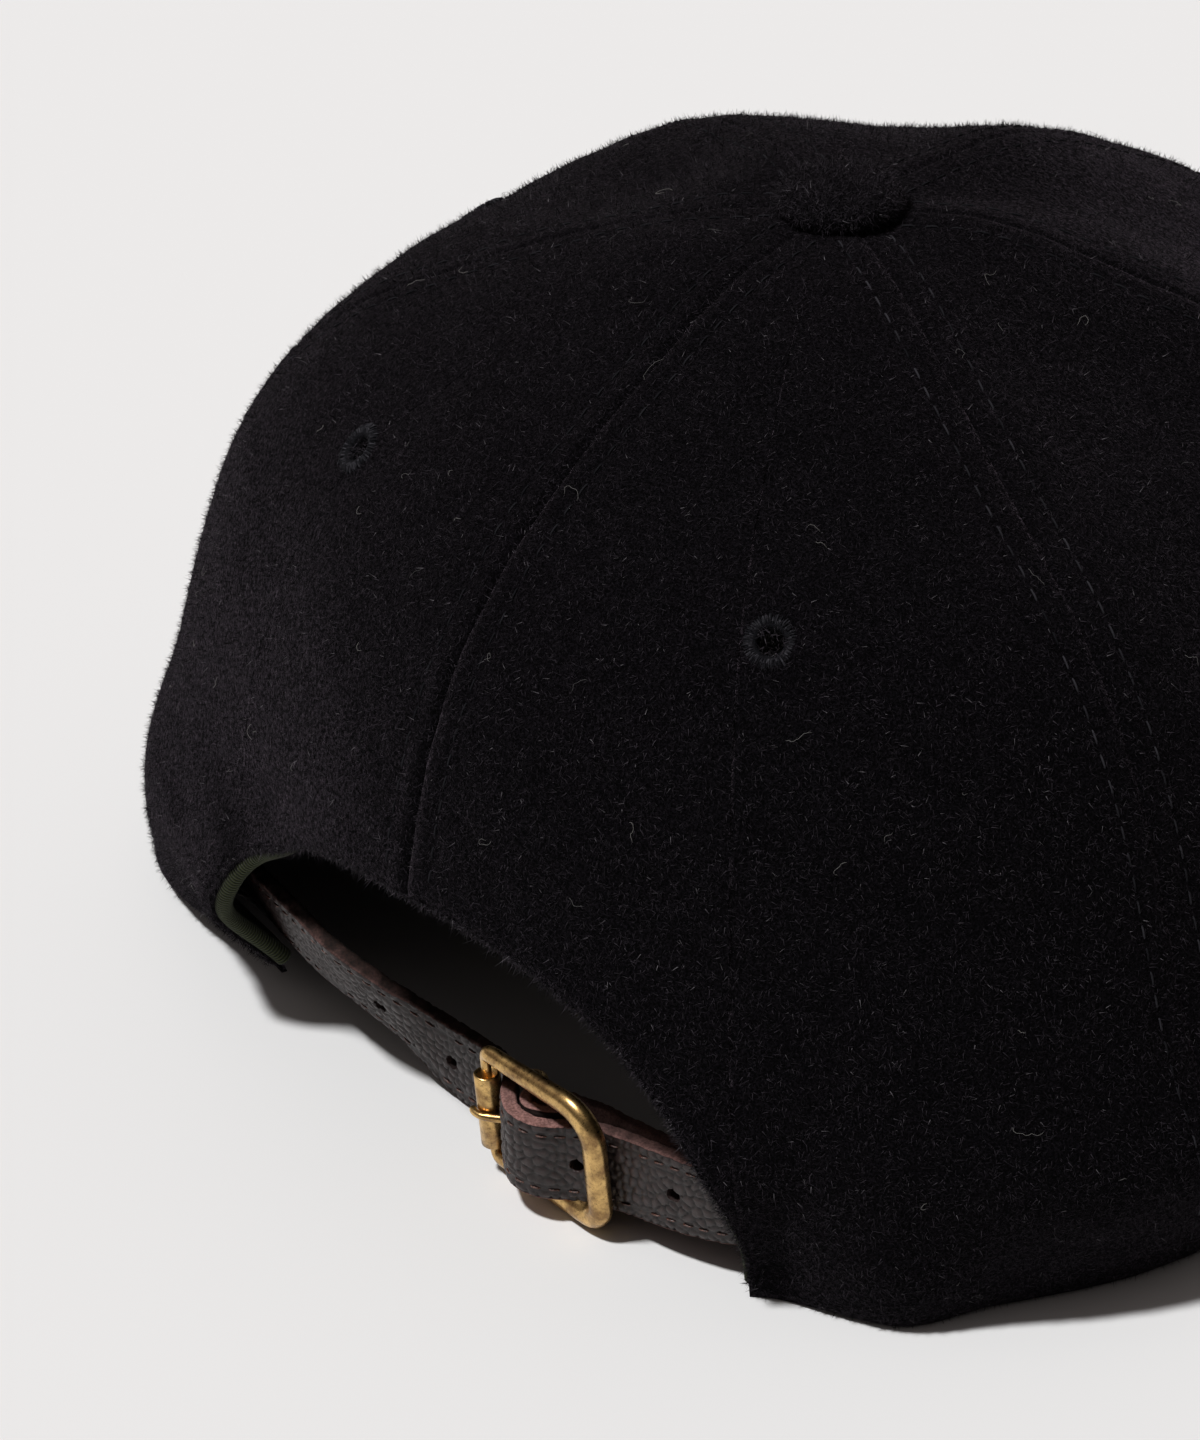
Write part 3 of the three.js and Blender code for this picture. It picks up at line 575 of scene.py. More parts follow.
class Finish:
    """A procedural material: one Principled shader and the nodes before it."""

    def __init__(self, name):
        self.material = bpy.data.materials.new(name)
        self.material.use_nodes = True
        self.tree = self.material.node_tree
        self.shader = self.tree.nodes["Principled BSDF"]
        self.coordinates = self.tree.nodes.new("ShaderNodeTexCoord")

    def node(self, kind, inputs, output=0, **settings):
        made = self.tree.nodes.new(kind)
        for key, value in settings.items():
            setattr(made, key, value)
        for key, value in inputs.items():
            self.put(made.inputs[key], value)
        return made.outputs[output]

    def put(self, socket, value):
        """Links another node's socket, or sets a number or a colour of three numbers."""
        if isinstance(value, bpy.types.NodeSocket):
            self.tree.links.new(value, socket)
        else:
            socket.default_value = (*value, 1) if isinstance(value, tuple) else value

    def noise(self, size, detail, rough, distortion=0.0):
        """Noise with grains of size millimetres."""
        return self.node("ShaderNodeTexNoise", {
            "Vector": self.coordinates.outputs["Object"], "Scale": 1 / (size * MM), "Detail": detail,
            "Roughness": rough, "Distortion": distortion})

    def shade(self):
        return self.node("ShaderNodeAttribute", {}, output=2, attribute_name="shade")

    def range(self, value, low, high, to_low=0.0, to_high=1.0):
        return self.node("ShaderNodeMapRange", {
            "Value": value, "From Min": low, "From Max": high, "To Min": to_low, "To Max": to_high})

    def mix(self, share, a, b):
        """The colour from a at 0 to b at 1."""
        return self.node("ShaderNodeMix", {0: share, 6: a, 7: b}, output=2, data_type="RGBA")

    def bump(self, height, distance, strength=1.0, under=None):
        """Relief of distance millimetres."""
        inputs = {"Height": height, "Distance": distance * MM, "Strength": strength}
        if under:
            inputs["Normal"] = under
        return self.node("ShaderNodeBump", inputs)

    def set(self, **values):
        for key, value in values.items():
            name = key.replace("_", " ").title().replace("Ior", "IOR")
            self.put(self.shader.inputs[name], value)
        return self.material


SHEEN = {"sheen_roughness": 0.3, "sheen_tint": (0.7, 0.56, 0.69)}


def wool_cloth():
    """Felted black wool: mottled, with a soft raised surface."""
    f = Finish("black_wool")
    fibres = f.noise(0.3, 4, 0.7, distortion=0.5)
    clumps = f.noise(2.6, 3, 0.6)
    tone = f.mix(f.range(fibres, 0.45, 0.7), (0.0006, 0.0005, 0.0007), (0.0115, 0.0096, 0.0125))
    tone = f.mix(f.range(clumps, 0.35, 0.7, 0.0, 0.45), tone, (0.001, 0.0009, 0.0012))
    relief = f.bump(f.noise(1.1, 4, 0.6), 0.35, 0.9)
    fuzz = f.range(f.noise(0.55, 4, 0.75), 0.44, 0.66, 0.0, 0.28)
    return f.set(base_color=tone, roughness=1.0, specular_ior_level=0.04, sheen_weight=fuzz,
                 normal=f.bump(fibres, 0.22, 1.0, relief), **SHEEN)


def wool_fibre():
    """Single fibres of the nap, most black and a few greyer; the greyer ones are partly a random tone and
    partly painted glints, fibres that catch the light.
    """
    f = Finish("wool_fibre")
    # the fibres' random tone is partly real and partly painted glints: the greyer fibres and the palest few
    # stand in for fibres catching the light
    tone = f.mix(f.range(f.shade(), 0.3, 1.0), (0.001, 0.0009, 0.0012), (0.037, 0.031, 0.0385))
    tone = f.mix(f.range(f.shade(), 0.975, 1.0), tone, (0.14, 0.13, 0.14))
    return f.set(base_color=tone, roughness=0.8, specular_ior_level=0.1, sheen_weight=0.15, **SHEEN)


def lint_fibre():
    """Pale fibres caught on the wool."""
    f = Finish("lint_fibre")
    tone = f.mix(f.shade(), (0.04, 0.038, 0.04), (0.22, 0.21, 0.2))
    return f.set(base_color=tone, roughness=0.6)


def black_thread():
    """Black thread, greyer where its shade is high. On the rear right seam the greyer stitches are painted
    highlights, where the thread catches the light.
    """
    f = Finish("black_thread")
    strands = f.noise(0.18, 2, 0.5)
    tone = f.mix(f.range(strands, 0.4, 0.7), (0.002, 0.002, 0.0028), (0.007, 0.007, 0.0095))
    tone = f.mix(f.shade(), tone, (0.045, 0.043, 0.05))
    return f.set(base_color=tone, roughness=0.8, specular_ior_level=0.1, normal=f.bump(strands, 0.08, 0.8))


def green_tape():
    """Ribbed olive cotton tape, darker between its ribs as painted shade. The ribs follow the piece's own
    map, in millimetres.
    """
    f = Finish("green_tape")
    where = f.node("ShaderNodeUVMap", {}, uv_map="millimetres")
    ribs = f.node("ShaderNodeTexWave", {"Vector": where, "Scale": 0.62, "Distortion": 0.35, "Detail": 1.0},
                  output=1, wave_type="BANDS", bands_direction="X", wave_profile="SIN")
    fibres = f.noise(0.3, 4, 0.6)
    # painted shade: the tape is darker in the hollows between its ribs
    tone = f.mix(f.range(ribs, 0.1, 0.8), (0.005, 0.0075, 0.0024), (0.036, 0.043, 0.0145))
    tone = f.mix(f.range(fibres, 0.5, 0.75, 0, 0.3), tone, (0.06, 0.068, 0.032))
    return f.set(base_color=tone, roughness=0.85, specular_ior_level=0.15, sheen_weight=0.06,
                 sheen_roughness=0.5, normal=f.bump(ribs, 0.16, 1.0, f.bump(fibres, 0.06, 0.6)))


def strap_leather():
    """Pebbled dark leather. Its shade is under 0.2 on the grain, more in its creases and sewn grooves, where
    the colour is darkened as painted shade, and 0.5 to 1 on dark to pale suede."""
    f = Finish("dark_leather")
    suede = f.range(f.shade(), 0.3, 0.5)
    fine = f.noise(0.35, 5, 0.65)
    broad = f.noise(5.0, 3, 0.5)
    # painted shade: the grain's colour darkens towards a shade of 0.2, in its creases and sewn grooves
    grain = f.mix(f.range(f.shade(), 0.0, 0.2), (0.037, 0.0235, 0.0225), (0.006, 0.004, 0.0035))
    grain = f.mix(f.range(broad, 0.35, 0.7, 0, 0.5), grain, (0.018, 0.01, 0.009))
    bright = f.range(f.shade(), 0.5, 1.0)
    low = f.mix(bright, (0.005, 0.002, 0.0015), (0.13, 0.06, 0.054))
    high = f.mix(bright, (0.022, 0.009, 0.006), (0.36, 0.19, 0.168))
    raw = f.mix(f.range(fine, 0.35, 0.65), low, high)
    tone = f.mix(suede, grain, raw)
    rough = f.node("ShaderNodeMix", {0: suede, 2: 0.44, 3: 0.95}, data_type="FLOAT")
    relief = f.bump(fine, 0.07, 0.6, f.bump(f.noise(0.9, 2, 0.5), 0.12, 0.7))
    return f.set(base_color=tone, roughness=rough, specular_ior_level=0.42, normal=relief)


def copper_thread():
    """The strap's reddish thread."""
    f = Finish("copper_thread")
    twist = f.noise(0.2, 2, 0.5)
    tone = f.mix(f.range(twist, 0.4, 0.65), (0.022, 0.007, 0.005), (0.13, 0.048, 0.03))
    return f.set(base_color=tone, roughness=0.38, specular_ior_level=0.6, normal=f.bump(twist, 0.08, 0.8))


def antique_brass():
    """Brass with a brown patina that is worn off here and there."""
    f = Finish("antique_brass")
    patina = f.noise(3.2, 5, 0.6)
    specks = f.noise(0.5, 4, 0.7)
    tone = f.mix(f.range(patina, 0.36, 0.6), (0.28, 0.165, 0.07), (0.75, 0.49, 0.19))
    tone = f.mix(f.range(specks, 0.52, 0.72, 0, 0.7), tone, (0.12, 0.075, 0.035))
    rough = f.range(specks, 0.3, 0.75, 0.22, 0.42)
    return f.set(base_color=tone, metallic=1.0, roughness=rough, normal=f.bump(specks, 0.02, 0.5))


def pale_floor():
    f = Finish("pale_floor")
    return f.set(base_color=(0.82, 0.82, 0.82), roughness=0.9, specular_ior_level=0.1)


MATERIALS = {
    "cloth": wool_cloth(),
    "nap": wool_fibre(),
    "lint": lint_fibre(),
    "thread": black_thread(),
    "tape": green_tape(),
    "leather": strap_leather(),
    "copper": copper_thread(),
    "brass": antique_brass(),
    "floor": pale_floor(),
}


# Crown

PANELS = [
    ("rear_right", 0.0, REAR_SEAM, 1),
    ("side_right", REAR_SEAM, FRONT_SEAM, 0),
    ("front_right", FRONT_SEAM, 180.0, 0),
    ("rear_left", 0.0, -REAR_SEAM, -1),
    ("side_left", -REAR_SEAM, -FRONT_SEAM, 0),
    ("front_left", -FRONT_SEAM, -180.0, 0),
]
ROWS = 132
COLUMNS = 96
ARCH_COLUMNS = 60
# the inside takes every third row and column
COARSER = 3
RIM_DOWN = 0.9999
EDGE_ROUNDING = 0.75
EDGE_ROUNDING_WIDTH = 0.8
NAP_COUNT = 76000
EYELET_DOWN = 0.425
EYELET = {"bore": 2.5, "hole": 1.95, "outer": 3.65, "threads": 76, "thread": 0.12, "thread_sides": 6,
          "uneven_turn": 0.02, "uneven_reach": 0.14, "ring_steps": 48}
# distance from the middle and height over the cloth, round the padded ring under the threads
EYELET_RING = np.array([(1.75, -2.1), (3.2, -2.1), (3.3, 0.05), (2.9, 0.28), (2.2, 0.28), (1.75, 0.0)])
SEWN_FROM, SEWN_TO, SEWN_ABOVE_ARCH = 0.055, 0.992, 0.008
CROWN_STITCH = {"pitch": STITCH_PITCH, "length": 2.3, "radius": 0.15, "height": -0.03}
# the rear right seam's stitches are painted greyer, up to this shade, as painted highlights where the thread
# catches the light
REAR_SEAM_PAINTED_GLINT = 0.7
OTHER_SEAM_SHADE = 0.2
FRINGE = {"count": 9000, "swing": 88, "away": (-0.2, 0.5), "depth": (0, 1.9), "towards": -1.2,
          "scatter": 0.55, "lift": 0.25, "length": (0.5, 1.3), "long_share": 0.12, "longer": 1.8,
          "width": (0.06, 0.12)}
CROWN_MIDDLE = 35.0 * UP


def from_axis(points):
    """A direction out of the crown at each point."""
    return points - CROWN_MIDDLE


def clustered(steps, strength):
    """Even steps from 0 to 1, drawn closer together at both ends."""
    u = np.linspace(0, 1, steps + 1)
    return u - strength * np.sin(2 * np.pi * u) / (2 * np.pi)


def panel_grid(start, end, opens):
    """Angles and downs of a panel's grid."""
    if opens:
        swing = opens * 90 * np.linspace(0, 1, ARCH_COLUMNS + 1) ** 1.25
        line = np.stack([swing, 0 * swing, 0 * swing], axis=-1)
        fray = 0.22 * ripple(line, 3.1, 8) + 0.18 * ripple(line, 9.0, 9)
        angle, foot = arch_edge(swing, fray * np.sin(np.radians(2 * np.abs(swing))) - 0.15)
        angle[0] = 0.0
        share = np.abs(angle / seam_angle(end, foot))
        beside = clustered(COLUMNS - ARCH_COLUMNS, 0.5)[1:]
        share = np.concatenate([share, share[-1] + (1 - share[-1]) * beside])
        foot = np.concatenate([foot, np.ones(len(beside))])
    else:
        share = clustered(COLUMNS, 0.6)
        foot = np.ones(COLUMNS + 1)
    steps = 1 - (1 - np.linspace(0, 1, ROWS + 1)) ** 1.2
    down = TOP_DOWN + (foot[None] - TOP_DOWN) * steps[:, None]
    first, last = seam_angle(start, down), seam_angle(end, down)
    return first + (last - first) * share[None], down


def make_panel(name, start, end, opens):
    """One panel from seam to seam, with its eyelet and nap. opens is the side of the opening's half."""
    angle, down = panel_grid(start, end, opens)
    outer = skin(angle, down)
    edge = (1 - down) * CROWN_LENGTH
    if opens:
        edge = np.minimum(edge, arch_distance(outer))
    outer -= crown_normal(angle, down) * (EDGE_ROUNDING * bell(edge, EDGE_ROUNDING_WIDTH))[..., None]
    inner = crown(angle[::COARSER, ::COARSER], down[::COARSER, ::COARSER], WOOL)
    rim = plain_crown(angle, down)[..., 2]
    outer[..., 2] = np.where(down > RIM_DOWN, rim, np.maximum(outer[..., 2], 0))
    coarse_rim = down[::COARSER, ::COARSER] > RIM_DOWN
    inner[..., 2] = np.where(coarse_rim, rim[::COARSER, ::COARSER], np.maximum(inner[..., 2], 0))
    body = Body().add(*shell(outer, inner, COARSER))
    cloth = body.piece(f"{name}_cloth", MATERIALS["cloth"], "wool", f"{name}_panel")

    middle = (start + end) / 2
    centre = crown(middle, EYELET_DOWN)
    normal = crown_normal(middle, EYELET_DOWN)
    cut(cloth, [tubes(drill(centre, normal, 6), EYELET["bore"], 32)])
    make_eyelet(name, centre, normal)
    nap(f"{name}_nap", outer[:ROWS - 1], NAP_COUNT, from_axis)
    return outer


def make_eyelet(name, centre, normal):
    """An eyelet bound with thread: a padded ring with threads lying over it."""
    first = unit(np.cross(normal, UP))
    second = np.cross(normal, first)

    def turned(turns, distance, height):
        spokes = np.cos(turns)[:, None, None] * first + np.sin(turns)[:, None, None] * second
        return centre + spokes * distance + normal * height

    rings = turned(circle(EYELET["ring_steps"]), EYELET_RING[None, :, :1], EYELET_RING[None, :, 1:])
    body = Body().add(*ring_loft(rings, closed=True))

    hole, outer = EYELET["hole"], EYELET["outer"]
    route = np.array([(hole + 0.15, -2.2), (hole + 0.1, -0.6), (hole + 0.25, 0.15), (hole + 0.8, 0.48),
                      (outer - 0.9, 0.42), (outer - 0.3, 0.12), (outer, -0.35)])
    number = EYELET["threads"]
    turns = 2 * np.pi * np.arange(number) / number + RNG.normal(0, EYELET["uneven_turn"], number)
    on_cloth = np.array([0, 0, 0, 1, 1, 1, 1])[:, None]
    reach = route[None, :, :1] + RNG.normal(0, EYELET["uneven_reach"], (number, 1, 1)) * on_cloth
    paths = turned(turns, reach, route[None, :, 1:])
    sides = EYELET["thread_sides"]
    shade = np.repeat(RNG.random(number * len(route)) ** 3, sides)
    body.add(*tubes(paths, EYELET["thread"], sides, side=tuple(normal)), shade)
    body.piece(f"{name}_eyelet_thread", MATERIALS["thread"], "eyelet_thread", f"{name}_eyelet")


def seam_line(seam, side):
    """Points and normals of a line of stitches beside a seam."""
    down = np.linspace(SEWN_FROM, SEWN_TO, 400)
    if seam == 0.0:
        arch_top = arch_edge(np.array([0.0]))[1][0]
        down = np.linspace(SEWN_FROM, arch_top - SEWN_ABOVE_ARCH, 300)
    radius = np.linalg.norm(plain_crown(np.full(down.shape, seam), down)[:, :2], axis=1)
    angle = seam_angle(seam, down) + side * np.degrees(STITCH_OFFSET / radius)
    return skin(angle, down), crown_normal(angle, down)


def make_crown():
    """The six panels and the rows of stitches beside their seams."""
    outers = [make_panel(*panel) for panel in PANELS]
    body = Body()
    in_stitch = STITCH_POINTS * STITCH_SIDES
    for seam in SEAMS:
        # painted highlight: the rear right seam's stitches are greyer than the others
        brightest = REAR_SEAM_PAINTED_GLINT if seam == REAR_SEAM else OTHER_SEAM_SHADE
        for side in (-1, 1):
            points, faces = stitches(*seam_line(seam, side), **CROWN_STITCH)
            body.add(points, faces, brightest * RNG.random(len(points) // in_stitch).repeat(in_stitch))
    body.piece("crown_stitches", MATERIALS["thread"], "eyelet_thread")
    return outers


def make_fringe():
    """Frayed wool along the raw edge of the opening."""
    count = FRINGE["count"]
    swing = RNG.uniform(-FRINGE["swing"], FRINGE["swing"], count)
    angle, down = arch_edge(swing, RNG.uniform(*FRINGE["away"], count))
    normals = crown_normal(angle, down)
    points = crown(angle, down, RNG.uniform(*FRINGE["depth"], count))
    towards = unit(crown(*arch_edge(swing, FRINGE["towards"]), WOOL / 2) - points)
    directions = unit(towards + FRINGE["scatter"] * RNG.normal(size=points.shape) + FRINGE["lift"] * normals)
    lengths = RNG.uniform(*FRINGE["length"], count)
    lengths *= np.where(RNG.random(count) < FRINGE["long_share"], FRINGE["longer"], 1.0)
    widths = RNG.uniform(*FRINGE["width"], count)
    shade = np.repeat(RNG.random(count), 3)
    body = Body().add(*fibres(points, normals, directions, lengths, widths), shade)
    body.piece("arch_fringe", MATERIALS["nap"], "wool", smooth=False)


# Button

BUTTON = {"radius": 8.4, "height": 4.3, "widest": 1.5, "nap": 9000, "nap_length": (0.6, 1.4)}


def make_button():
    """A dome covered in the same wool, pressed down on the panels."""
    foot = plain_crown(0.0, 0.0)[2]
    turns = circle(96)
    climb = np.radians(np.linspace(-25, 89, 34))[:, None]
    radius = BUTTON["radius"] * np.cos(climb) ** 0.8
    height = BUTTON["widest"] + (BUTTON["height"] - BUTTON["widest"]) * np.sin(climb)
    rings = np.stack([radius * np.cos(turns), radius * np.sin(turns), foot + height + 0 * turns], axis=-1)
    rings += 0.14 * ripple(rings, 6, 12)[..., None] * unit(rings - foot * UP)
    Body().add(*ring_loft(rings)).piece("button_cloth", MATERIALS["cloth"], "wool", "top_button")
    closed = np.concatenate([rings, rings[:, :1]], axis=1)
    nap("button_nap", closed[1:], BUTTON["nap"], lambda points: points - foot * UP, BUTTON["nap_length"])


# Visor

VISOR = {"half_width": 89.0, "reach": 76.0, "middle_y": -84.0, "half_turn": 119.0, "root": 0.978,
         "thickness": 4.0, "front_height": 14.5, "rounding": 1.6, "rounding_width": 1.5, "nap": 52000}
VISOR_ROWS = {"count": 6, "apart": 7.5, "depth": 0.28, "width": 0.8, "clear": 4}
VISOR_STITCH = {"pitch": STITCH_PITCH, "length": 2.4, "radius": 0.16, "height": -0.02}


def visor_surface(share, reach):
    """Top of the visor: share runs across from -1 to 1, reach from the crown at 0 to the edge at 1."""
    angle = 180 - share * (180 - FRONT_SEAM)
    root = plain_crown(angle, np.ones(angle.shape)) * np.array([VISOR["root"], VISOR["root"], 1])
    root[..., 2] -= GAP
    swing = np.radians(share * VISOR["half_turn"])
    tip_x = -VISOR["half_width"] * np.sin(swing)
    tip_y = VISOR["middle_y"] - VISOR["reach"] * np.cos(swing)
    fall = (VISOR["front_height"] - VISOR["thickness"]) * (tip_x / VISOR["half_width"]) ** 2
    tip = np.stack([tip_x, tip_y, VISOR["front_height"] - fall], axis=-1)
    return root + (tip - root) * reach[..., None]


def make_visor():
    """The visor's board in its two layers of wool, with rows of stitches along its edge."""
    share = np.linspace(-1, 1, 151)[None]
    reach = (1 - (1 - np.linspace(0, 1, 51)) ** 1.3)[:, None]
    share, reach = np.broadcast_arrays(share, reach)
    top = visor_surface(share, reach)
    tip = visor_surface(share, np.ones(share.shape))
    inset = np.linalg.norm(top - tip, axis=-1)
    rounding = VISOR["rounding"] * bell(inset, VISOR["rounding_width"])
    insets = VISOR_ROWS["apart"] * np.arange(1, VISOR_ROWS["count"] + 1)
    rows = sum(VISOR_ROWS["depth"] * bell(inset - far, VISOR_ROWS["width"]) for far in insets)
    wave = 0.12 * ripple(top, 14, 21)
    upper = top - (rounding + rows - wave)[..., None] * UP
    lower = top - (VISOR["thickness"] - rounding - rows + wave)[..., None] * UP
    lower[..., 2] = np.maximum(lower[..., 2], 0)
    upper[..., 2] = np.maximum(upper[..., 2], lower[..., 2] + 0.5)
    Body().add(*shell(upper, lower, 1)).piece("visor_cloth", MATERIALS["cloth"], "wool", "visor")
    nap("visor_nap", upper, VISOR["nap"], lambda points: UP[None])

    body = Body()
    share = np.linspace(-0.97, 0.97, 500)
    edge = visor_surface(share, np.ones(share.shape))
    root = visor_surface(share, np.zeros(share.shape))
    span = np.linalg.norm(edge - root, axis=1)
    for far in insets:
        points = (edge + (root - edge) * (far / span)[:, None])[span > far + VISOR_ROWS["clear"]]
        points[:, 2] -= VISOR_ROWS["depth"]
        under = points - (VISOR["thickness"] - 2 * VISOR_ROWS["depth"]) * UP
        under[:, 2] = np.maximum(under[:, 2], 0.2)
        for line, outwards in ((points, UP), (under, -UP)):
            body.add(*stitches(line, np.broadcast_to(outwards, line.shape), **VISOR_STITCH))
    body.piece("visor_stitches", MATERIALS["thread"], "eyelet_thread")


# Tape round the opening

TAPE = {"thickness": 0.8, "width": 9.0, "behind": 0.8, "swing": 88.5, "steps": 260}
# middle and radii of the tape's roll along the edge, as away from the edge and depth in the cloth
TAPE_ROLL = {"away": -0.3, "depth": 2.45, "wide": 1.2, "high": 1.25, "turn": 195, "steps": 12}


def make_tape():
    """Tape folded over the edge of the opening and carried on inside the wall."""
    back = WOOL + TAPE["behind"]
    front = back + TAPE["thickness"]
    width = TAPE["width"]
    # away from the edge, depth from the cloth's outside: a roll along the edge, then the flat tape
    roll = [(TAPE_ROLL["away"] - TAPE_ROLL["wide"] * math.sin(t),
             TAPE_ROLL["depth"] - TAPE_ROLL["high"] * math.cos(t))
            for t in np.radians(np.linspace(0, TAPE_ROLL["turn"], TAPE_ROLL["steps"]))]
    section = np.array(roll + [
        (0.5, front - 0.3), (1.2, front - 0.35), (2.2, front - 0.1), (4.0, front), (6.5, front),
        (width - 0.2, front), (width, front - 0.2), (width, back + 0.1), (6.0, back), (3.0, back),
        (0.3, back), (0.0, back - 0.6)])
    swing = np.linspace(-TAPE["swing"], TAPE["swing"], TAPE["steps"])
    # the roll shows at the left corner, a little at the right one, and hides behind the cloth between
    tucked = 1.9 / (1 + np.exp(-(swing + 44) / 5)) - 1.5 / (1 + np.exp(-(swing - 64) / 4))
    columns = []
    for away, depth in section:
        angle, down = arch_edge(swing, away + tucked * (away < width - 1))
        columns.append(crown(angle, down, depth))
    rings = np.stack(columns, axis=1)
    made = Body().add(*ring_loft(rings)).piece("tape_binding", MATERIALS["tape"], "tape", "arch_tape")
    on_roll = 4
    map_u = np.repeat(run_along(rings[:, on_roll]), len(section))
    layer = made.data.uv_layers.new(name="millimetres")
    corners = np.empty(len(made.data.loops), int)
    made.data.loops.foreach_get("vertex_index", corners)
    layer.data.foreach_set("uv", np.stack([map_u[corners], 0 * map_u[corners]], axis=1).ravel())


# Strap and tab

STRAP = {"width": 12.2, "thickness": 2.2, "hole": 1.0, "holes": (50.7, 63.4, 99.7, 114.7), "pebble": 1.4,
         "relief": 0.34, "squeeze": 0.04}
TAB = {"width": 11.4, "thickness": 1.7, "slot": 2.8, "slot_length": 9.0, "pebble": 1.4, "relief": 0.12,
       "squeeze": 0.08}
SEWN_INSET = 1.7
SEWN_WIDTH = 0.45
STRAP_STITCH = {"pitch": 2.5, "length": 1.8, "radius": 0.14, "height": 0.02, "skip": 0.1}
# where the strap stands out over the centre bar
BULGE = np.array([-13.1, 77.4])
BULGE_REACH = 6.5
BULGE_LIFT = 0.1
BUCKLE_HEIGHT = 10.4
# x, y, z, lean outwards at the top
STRAP_PATH = [
    (68.8, 55.2, 13.4, 15), (62.3, 57.8, 13.8, 18), (55.8, 59.2, 14.2, 20), (50.0, 61.4, 14.8, 21),
    (44.2, 63.9, 15.3, 21), (35.1, 67.1, 15.6, 20), (26.3, 68.9, 14.8, 24), (19.0, 67.9, 11.9, 23),
    (12.7, 65.8, 7.4, 9), (5.7, 66.2, 6.5, 4), (0.3, 67.8, 7.1, 2), (-5.2, 72.1, 8.9, 1),
    (-8.8, 76.4, 9.6, 1), (-12.0, 78.5, 9.8, 2), (-15.6, 78.3, 9.7, 2), (-18.6, 76.0, 9.5, 2),
    (-22.6, 74.7, 10.1, 2), (-27.2, 73.8, 10.2, 3), (-33.3, 73.6, 10.8, 4), (-40.3, 72.6, 11.2, 7),
    (-47.0, 70.2, 12.1, 9), (-51.2, 68.3, 12.6, 9), (-55.8, 66.9, 12.8, 10), (-58.6, 65.6, 12.8, 11),
]
TAB_PATH = [
    (-69.3, 57.6, 13.0, 14), (-65.0, 61.6, 13.0, 14), (-61.6, 62.2, 12.9, 13), (-57.6, 63.2, 12.8, 11),
    (-54.6, 64.4, 12.8, 10), (-50.1, 65.9, 12.6, 9), (-46.0, 68.1, 12.1, 9), (-39.8, 70.0, 11.3, 7),
    (-33.3, 71.0, 10.9, 4), (-27.1, 71.2, 10.6, 3), (-19.9, 71.4, 10.6, 1), (-15.4, 71.9, 10.5, 0),
]
TAB_FOLD = [(-15.2, 75.4), (-17.8, 73.6)]
CENTRE_BAR = {"radius": 1.0, "along": 8.3, "bend": 1.7}
CENTRE_BAR_AT = np.array([-12.6, 74.3])


def strip_frames(rows, step):
    """Centres, outward and upward directions along a strip, at even steps."""
    rows = np.asarray(rows, float)
    fine = 3000
    centres = catmull(rows[:, :3], fine)
    leans = catmull(rows[:, [0, 1, 3]], fine)[:, 2]
    along = np.gradient(centres, axis=0)
    along[:, 2] = 0
    run = run_along(centres)
    even = np.linspace(0, run[-1], int(run[-1] / step) + 1)
    along = unit(resampled(even, run, unit(along)))
    centres, leans = resampled(even, run, centres), np.interp(even, run, leans)
    out = np.stack([along[:, 1], -along[:, 0], 0 * leans], axis=-1)
    lean = np.radians(leans) * np.sign(np.einsum("ij,ij->i", out, centres))
    up = np.broadcast_to(UP, out.shape)
    cos, sin = np.cos(lean)[:, None], np.sin(lean)[:, None]
    return centres, out * cos + np.cross(along, out) * sin, up * cos + np.cross(along, up) * sin, even


def strap_section(width, thickness):
    """A strip's outline, as across and out, with the share of suede at each point."""
    half, thick, soft = width / 2, thickness / 2, 0.35
    face = np.linspace(half - soft, -half + soft, 42)
    rows = [(w, thick, 0.0) for w in face]
    rows += [(-half + 0.1, thick - 0.12, 1.0)]
    rows += [(-half, t, 1.0) for t in np.linspace(thick - soft, -thick + soft, 7)]
    rows += [(w, -thick, 1.0) for w in np.linspace(-half + soft, half - soft, 14)]
    rows += [(half, t, 1.0) for t in np.linspace(-thick + soft, thick - soft, 7)]
    rows += [(half - 0.1, thick - 0.12, 1.0)]
    return np.array(rows)


